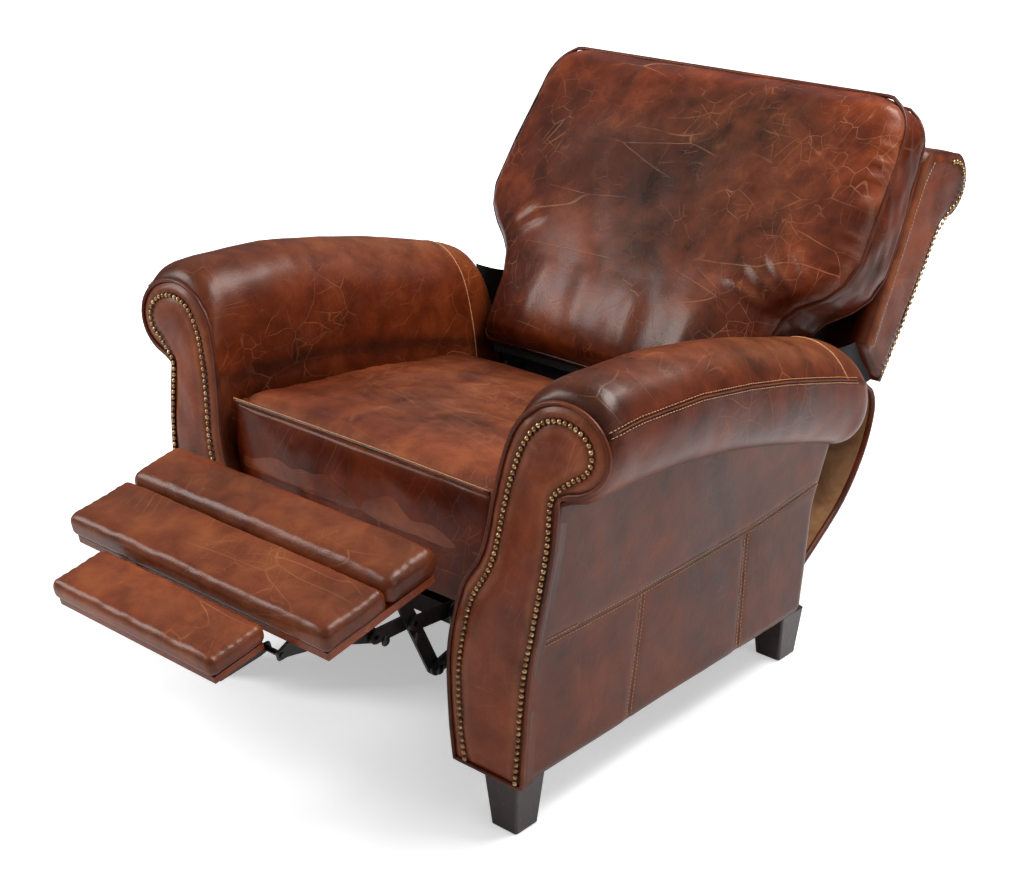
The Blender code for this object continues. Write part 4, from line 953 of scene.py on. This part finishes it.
attribute(wrapped, "wear", np.concatenate([(0.6 * np.exp(-((wrap[:, 0][:, None] - 0.35) / 0.02) ** 2) + 0 * x).ravel(),
                                           np.zeros(half)]))
attribute(wrapped, "shade", np.concatenate([(0.5 * np.exp(-(from_end / 0.005) ** 2) + 0 * x).ravel(), np.zeros(half)]))
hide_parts("back_scroll", "outside_back")


# ------------------------------------------------------------------ black lining
# Black cambric that closes the gap behind each arm, from the arm's rear edge to the foot of the
# back frame.  It hangs loosely.
cambric, tree, shader = new_material("black_cambric")  # thin black dust cloth, plain weave
place = add(tree, "ShaderNodeTexCoord").outputs["Object"]
weave = add(tree, "ShaderNodeTexVoronoi", {"Vector": place, "Scale": 900.0}).outputs["Distance"]
tone = noise_of(tree, place, 25.0, 4.0)
tree.links.new(ramp(tree, tone, (0.3, "0b0a0a"), (0.7, "1c1918")), shader.inputs["Base Color"])
shader.inputs["Roughness"].default_value = 0.9
shader.inputs["Sheen Weight"].default_value = 0.15
tree.links.new(add(tree, "ShaderNodeBump", {"Height": weave, "Strength": 0.5, "Distance": 0.0003}).outputs["Normal"],
               shader.inputs["Normal"])

for side, sign in SIDES:
    s, t = np.meshgrid(np.linspace(0, 1, 24), np.linspace(0, 1, 16), indexing="ij")
    arm_y, arm_z = 0.694 + 0.030 * t, 0.535 - 0.135 * t
    frame_yz = back_point(np.zeros_like(t), -0.0456 * t + 0.004, 0.006 + 0.086 * t)
    y = arm_y + (frame_yz[..., 1] - arm_y) * s
    z = arm_z + (frame_yz[..., 2] - arm_z) * s - 0.014 * np.sin(math.pi * s)
    x = sign * (0.348 - 0.012 * np.sin(math.pi * s) + 0.002 * np.sin(9 * s + 5 * t))
    gusset = np.stack([x + 0 * y, y, z], -1)
    lining = piece(f"black_gusset_{side}", gusset, grid_faces(24, 16, flip=sign > 0), cambric)
    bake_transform(lining)


for name, x_from, x_to, top_y in (("left", -0.283, -0.2215, 0.692), ("middle", -0.2065, 0.2065, 0.672),
                                  ("right", 0.2215, 0.283, 0.692)):
    hang = spaced(curve_through([(top_y, 0.405), (top_y + 0.001, 0.300), (top_y / 2 + 0.342, 0.200), (0.666, 0.121)], 6), count=20)
    x = np.linspace(x_from, x_to, max(8, int((x_to - x_from) / 0.012)))
    ripple = 0.003 * np.sin(x * 60)[None, :] * np.sin(np.linspace(0, math.pi, 20))[:, None]
    cloth = np.stack([np.repeat(x[None], 20, 0), hang[:, 0][:, None] + ripple, np.repeat(hang[:, 1][:, None], len(x), 1)], -1)
    curtain = piece(f"rear_dust_curtain_{name}", cloth, grid_faces(20, len(x)), cambric, "base")


hang_x, hang_t = np.meshgrid(np.linspace(-0.262, 0.262, 40), np.linspace(0, 1, 4))
skirt = piece("cushion_dust_skirt", np.stack([hang_x, 0.645 + 0.001 * hang_t, 0.428 - 0.024 * hang_t], -1),
              grid_faces(4, 40), cambric, "back")


# ------------------------------------------------------------------ rear flap
# A leather curtain between the back's lower edge and the base's rear rail: finished leather
# outside, raw suede inside, its edges folded over.
suede, tree, shader = new_material("raw_suede")  # the napped flesh side of the hide
place = add(tree, "ShaderNodeTexCoord").outputs["Object"]
nap = noise_of(tree, place, 16.0, 6.0, 0.65, 0.5)
tree.links.new(ramp(tree, nap, (0.32, "7c5232"), (0.5, "9c6c44"), (0.68, "b4845a")), shader.inputs["Base Color"])
shader.inputs["Roughness"].default_value = 0.92
shader.inputs["Specular IOR Level"].default_value = 0.2
shader.inputs["Sheen Weight"].default_value = 0.35
tree.links.new(add(tree, "ShaderNodeBump", {"Height": noise_of(tree, place, 500.0, 3.0), "Strength": 0.5,
                                            "Distance": 0.0006}).outputs["Normal"], shader.inputs["Normal"])

FLAP_ROUTE = [(0.893, 0.434), (0.914, 0.412), (0.940, 0.390), (0.948, 0.350), (0.926, 0.284), (0.872, 0.214), (0.795, 0.160),
              (0.722, 0.118)]
FLAP_HALF, FLAP_THICK = 0.337, 0.0036
route = spaced(curve_through(FLAP_ROUTE, 10), count=60)
turned = headings(route)
route_out = np.stack([-turned[:, 1], turned[:, 0]], 1)
x = np.linspace(-FLAP_HALF, FLAP_HALF, 72)
wave = 0.004 * np.sin(np.linspace(0, math.pi, 60))[:, None] * np.sin(x * 11 + 0.6)[None, :]
sides = []
for thick in (FLAP_THICK / 2, -FLAP_THICK / 2):
    hem = 0.0008 * np.exp(-((FLAP_HALF - np.abs(x)) / 0.010) ** 8)[None, :]
    lift = wave + thick + np.sign(thick) * hem
    sides.append(np.stack([np.repeat(x[None], 60, 0), route[:, 0][:, None] + route_out[:, 0][:, None] * lift,
                           route[:, 1][:, None] + route_out[:, 1][:, None] * lift], -1))
points, faces = shell(*sides)
faces = [f[::-1] for f in faces]
flap = piece("rear_leather_flap", points, faces, [panel_leather, suede])
centres = np.zeros(len(flap.data.polygons) * 3)
normals = np.zeros(len(flap.data.polygons) * 3)
flap.data.polygons.foreach_get("center", centres)
flap.data.polygons.foreach_get("normal", normals)
normals = normals.reshape(-1, 3)
inward = (normals @ np.array([0.0, -0.8, 0.6])) > 0.05
hem_face = np.abs(centres.reshape(-1, 3)[:, 0]) > FLAP_HALF - 0.011
flap.data.polygons.foreach_set("material_index", (inward & ~hem_face).astype(np.int32))
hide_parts("rear_flap")
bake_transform(flap)


# ------------------------------------------------------------------ footrest
# Three upholstered boards that swing out in front: a fat roll behind, a flat pad, and a
# narrow flipper on its own hinge.  Foam over plywood, the leather drawn round the edges.
pad_leather = leather("antiqued_leather_footrest", "4e1e0b", "773214", "964a20", "c89060", wear=0.7, seed=25.3, gloss=0.03)
SLOPE = math.radians(11.0)
BOARD_REAR = (-0.055, 0.398)


def board_point(x, along, above):
    """Drawing coordinates of a point given along the footrest board and above its top."""
    return np.stack([x, BOARD_REAR[0] - along * math.cos(SLOPE) - above * math.sin(SLOPE),
                     BOARD_REAR[1] - along * math.sin(SLOPE) + above * math.cos(SLOPE)], -1)


for name, node, body, start, end, low, high, half_x, radius, plump in (
        ("footrest_roll", "footrest_roll_pad", "footrest", -0.010, 0.088, 0.0, 0.042, 0.270, 0.017, 0.006),
        ("footrest_flat_pad", "footrest_main_pad", "footrest", 0.090, 0.205, 0.0, 0.036, 0.270, 0.013, 0.004),
        ("flipper_flat_pad", "flipper_pad", "flipper", 0.2165, 0.313, -0.006, 0.024, 0.170, 0.012, 0.003)):
    half = (half_x, (end - start) / 2, (high - low) / 2)
    local, faces, away = cushion_box(half, min(radius, half[2] * 0.95), (90, 16, 2))
    u, v, w = local.T
    upper = np.clip(away[:, 2], 0, 1)
    rise = plump * (1 - (u / half[0]) ** 8) * (1 - (v / half[1]) ** 4) * upper
    rise += (undulation(local, 121 + len(name), 0.0011, 0.09) + undulation(local, 122, 0.0004, 0.03)) * upper
    pucker = 0.0009 * np.sin(v * 420) * np.exp(-((half[0] - np.abs(u)) / 0.012) ** 2)
    points = board_point(u * (1 + 0.002 * np.sin(v * 90)), (start + end) / 2 + -v, (low + high) / 2 + w + rise + pucker * upper)
    faces = [f[::-1] for f in faces]
    pad = piece(name, points, faces, pad_leather, body)
    attribute(pad, "wear", 0.5 * (1 - np.abs(v / half[1]) ** 2) * upper
              + 0.5 * np.exp(-((1 - np.abs(v / half[1])) / 0.12) ** 2))
    attribute(pad, "shade", 0.3 * (body == "footrest") + 0.5 * np.clip(-away[:, 2], 0, 1) + 0.35 * np.exp(-((half[0] - np.abs(u)) / 0.006) ** 2))
    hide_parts(node)


# ------------------------------------------------------------------ mechanism and inner frame
# Flat steel bars with round ends, powder-coated satin black and joined with domed rivets, on
# two side plates.  Inside the covers are hardwood rails, a steel spring deck and webbing.
steel, tree, shader = new_material("satin_black_steel")  # black powder coat, worn lighter in random patches
place = add(tree, "ShaderNodeTexCoord").outputs["Object"]
orange_peel = noise_of(tree, place, 700.0, 2.0)
smudge = noise_of(tree, place, 30.0, 4.0)
tree.links.new(ramp(tree, smudge, (0.35, "0d0d0d"), (0.7, "1d1c1c")), shader.inputs["Base Color"])
shader.inputs["Metallic"].default_value = 0.35
tree.links.new(spread(tree, smudge, 0.3, 0.7, 0.30, 0.48), shader.inputs["Roughness"])
tree.links.new(add(tree, "ShaderNodeBump", {"Height": orange_peel, "Strength": 0.3, "Distance": 0.0002}).outputs["Normal"],
               shader.inputs["Normal"])

timber, tree, shader = new_material("black_stained_hardwood")  # sawn hardwood under a thin black stain
place = add(tree, "ShaderNodeTexCoord").outputs["Object"]
grain = add(tree, "ShaderNodeMapping", {"Vector": place, "Scale": (40.0, 5.0, 40.0)}).outputs["Vector"]
grain = noise_of(tree, grain, 4.0, 5.0, 0.6, 0.4)
tree.links.new(ramp(tree, grain, (0.3, "1d130e"), (0.7, "33231a")), shader.inputs["Base Color"])
shader.inputs["Roughness"].default_value = 0.75
tree.links.new(add(tree, "ShaderNodeBump", {"Height": grain, "Strength": 0.3, "Distance": 0.0005}).outputs["Normal"],
               shader.inputs["Normal"])

STEEL_NODES = ("mechanism_plate", "rear_link", "stay_link", "main_link", "fore_link", "board_link", "back_bracket",
               "footrest_bracket", "flipper_arm")
for name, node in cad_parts.items():
    if node.hide_render:
        continue
    kind = name.rsplit("_", 1)[0] if name.endswith(("_left", "_right")) else name
    if kind in STEEL_NODES or kind in ("flipper_rod", "seat_spring_deck"):
        made_of, from_slot = steel, "spring_steel" if kind == "seat_spring_deck" else "black_steel"
    elif kind in ("back_webbing", "footrest_board", "flipper_board"):
        made_of, from_slot = cambric, "cambric"
    else:
        made_of, from_slot = timber, "frame_wood"
    node.data.materials.clear()
    node.data.materials.append(made_of)
    if kind in ("footrest_board", "flipper_board"):
        node.data.materials.append(pad_leather)
        for side_face in node.data.polygons:
            side_face.material_index = 1 if side_face.normal.z > -0.7 else 0

PINS = {"rear_links": ((0.100, 0.235), (0.005, 0.209)), "stay_links": ((0.0387, 0.2916),),
        "main_links": ((-0.040, 0.279),), "fore_links": ((-0.100, 0.298),), "back": ((0.630, 0.375),)}
for body, spots_here in PINS.items():
    places, ways = [], []
    for y, z in spots_here:
        for sign in (-1, 1):
            places.append(np.array([sign * 0.2131, y, z]))
            ways.append((sign, 0, 0))
    rivets = piece(f"rivet_heads_{body}", *domes(places, ways, 0.0075, 0.003, sides=14), steel, body)


# ------------------------------------------------------------------ floor, light and camera
# A white studio sweep under large soft boxes: one overhead, one at the front left and a weaker
# one at the right, which give the leather its long pale sheens.
def soft_box(name, place_at, aim, wide, high, power, tint="ffffff"):
    """A rectangular area light at a place, aimed at a point."""
    data = bpy.data.lights.new(name, "AREA")
    data.shape = "RECTANGLE"
    data.size, data.size_y = wide, high
    data.energy = power
    data.color = linear(tint)[:3]
    made = bpy.data.objects.new(name, data)
    bpy.context.scene.collection.objects.link(made)
    made.location = Vector(place_at)
    made.rotation_mode = "QUATERNION"
    made.rotation_quaternion = (Vector(aim) - Vector(place_at)).to_track_quat("-Z", "Y")


floor_finish, tree, shader = new_material("white_studio_sweep")  # matt white paper
place = add(tree, "ShaderNodeTexCoord").outputs["Object"]
tree.links.new(ramp(tree, noise_of(tree, place, 2.0), (0.3, "fafafa"), (0.7, "ffffff")), shader.inputs["Base Color"])
shader.inputs["Emission Color"].default_value = linear("ffffff")
away_from_chair = add(tree, "ShaderNodeVectorMath", {0: place}, operation="LENGTH").outputs["Value"]
glow = spread(tree, away_from_chair, 1.1, 2.2, 0.42, 1.2)
tree.links.new(maths(tree, "MULTIPLY", add(tree, "ShaderNodeLightPath").outputs["Is Camera Ray"], glow),
               shader.inputs["Emission Strength"])
shader.inputs["Roughness"].default_value = 0.9
floor = piece("studio_floor", [(-12, -12, 0), (12, -12, 0), (12, 12, 0), (-12, 12, 0)], [(0, 1, 2, 3)], floor_finish)

world = bpy.data.worlds.new("studio")
bpy.context.scene.world = world
world.use_nodes = True
tree = world.node_tree
seen = add(tree, "ShaderNodeLightPath").outputs["Is Camera Ray"]
sky = add(tree, "ShaderNodeNewGeometry").outputs["Incoming"]
sky = add(tree, "ShaderNodeSeparateXYZ", {"Vector": sky}).outputs["Z"]
sky = ramp(tree, spread(tree, sky, -1.0, 1.0), (0.10, "ffffff"), (0.40, "8c8c90"), (0.60, "6a6a6c"))
sky = mixed(tree, seen, sky, linear("ffffff"))
strength = spread(tree, seen, 0.0, 1.0, 0.50, 1.15)
tree.links.new(sky, tree.nodes["Background"].inputs["Color"])
tree.links.new(strength, tree.nodes["Background"].inputs["Strength"])
soft_box("overhead_box", (0.9, 1.3 + FRONT_Y, 2.8), (0, 0.45 + FRONT_Y, 0.4), 1.7, 1.2, 84)
soft_box("front_left_box", (-2.3, -2.0, 2.0), (0, 0.2, 0.45), 0.9, 1.6, 54)
soft_box("right_box", (2.9, 0.1, 1.5), (0, 0.2, 0.45), 1.0, 1.5, 11)

CAMERA_TARGET, CAMERA_DISTANCE = (0.087, 0.300, 0.4328), 2.7404
CAMERA_AZIMUTH, CAMERA_ELEVATION = math.radians(41.4934), math.radians(22.574)
camera_data = bpy.data.cameras.new("studio_camera")
camera_data.sensor_width = 36.0
camera_data.lens = 63.4
camera = bpy.data.objects.new("studio_camera", camera_data)
bpy.context.scene.collection.objects.link(camera)
toward = Vector((math.sin(CAMERA_AZIMUTH) * math.cos(CAMERA_ELEVATION),
                 -math.cos(CAMERA_AZIMUTH) * math.cos(CAMERA_ELEVATION), math.sin(CAMERA_ELEVATION)))
aimed = Vector((CAMERA_TARGET[0], CAMERA_TARGET[1] + FRONT_Y, CAMERA_TARGET[2]))
camera.location = aimed + toward * CAMERA_DISTANCE
camera.rotation_mode = "QUATERNION"
camera.rotation_quaternion = toward.to_track_quat("Z", "Y")
bpy.context.scene.camera = camera
bpy.context.scene.view_settings.view_transform = "Standard"
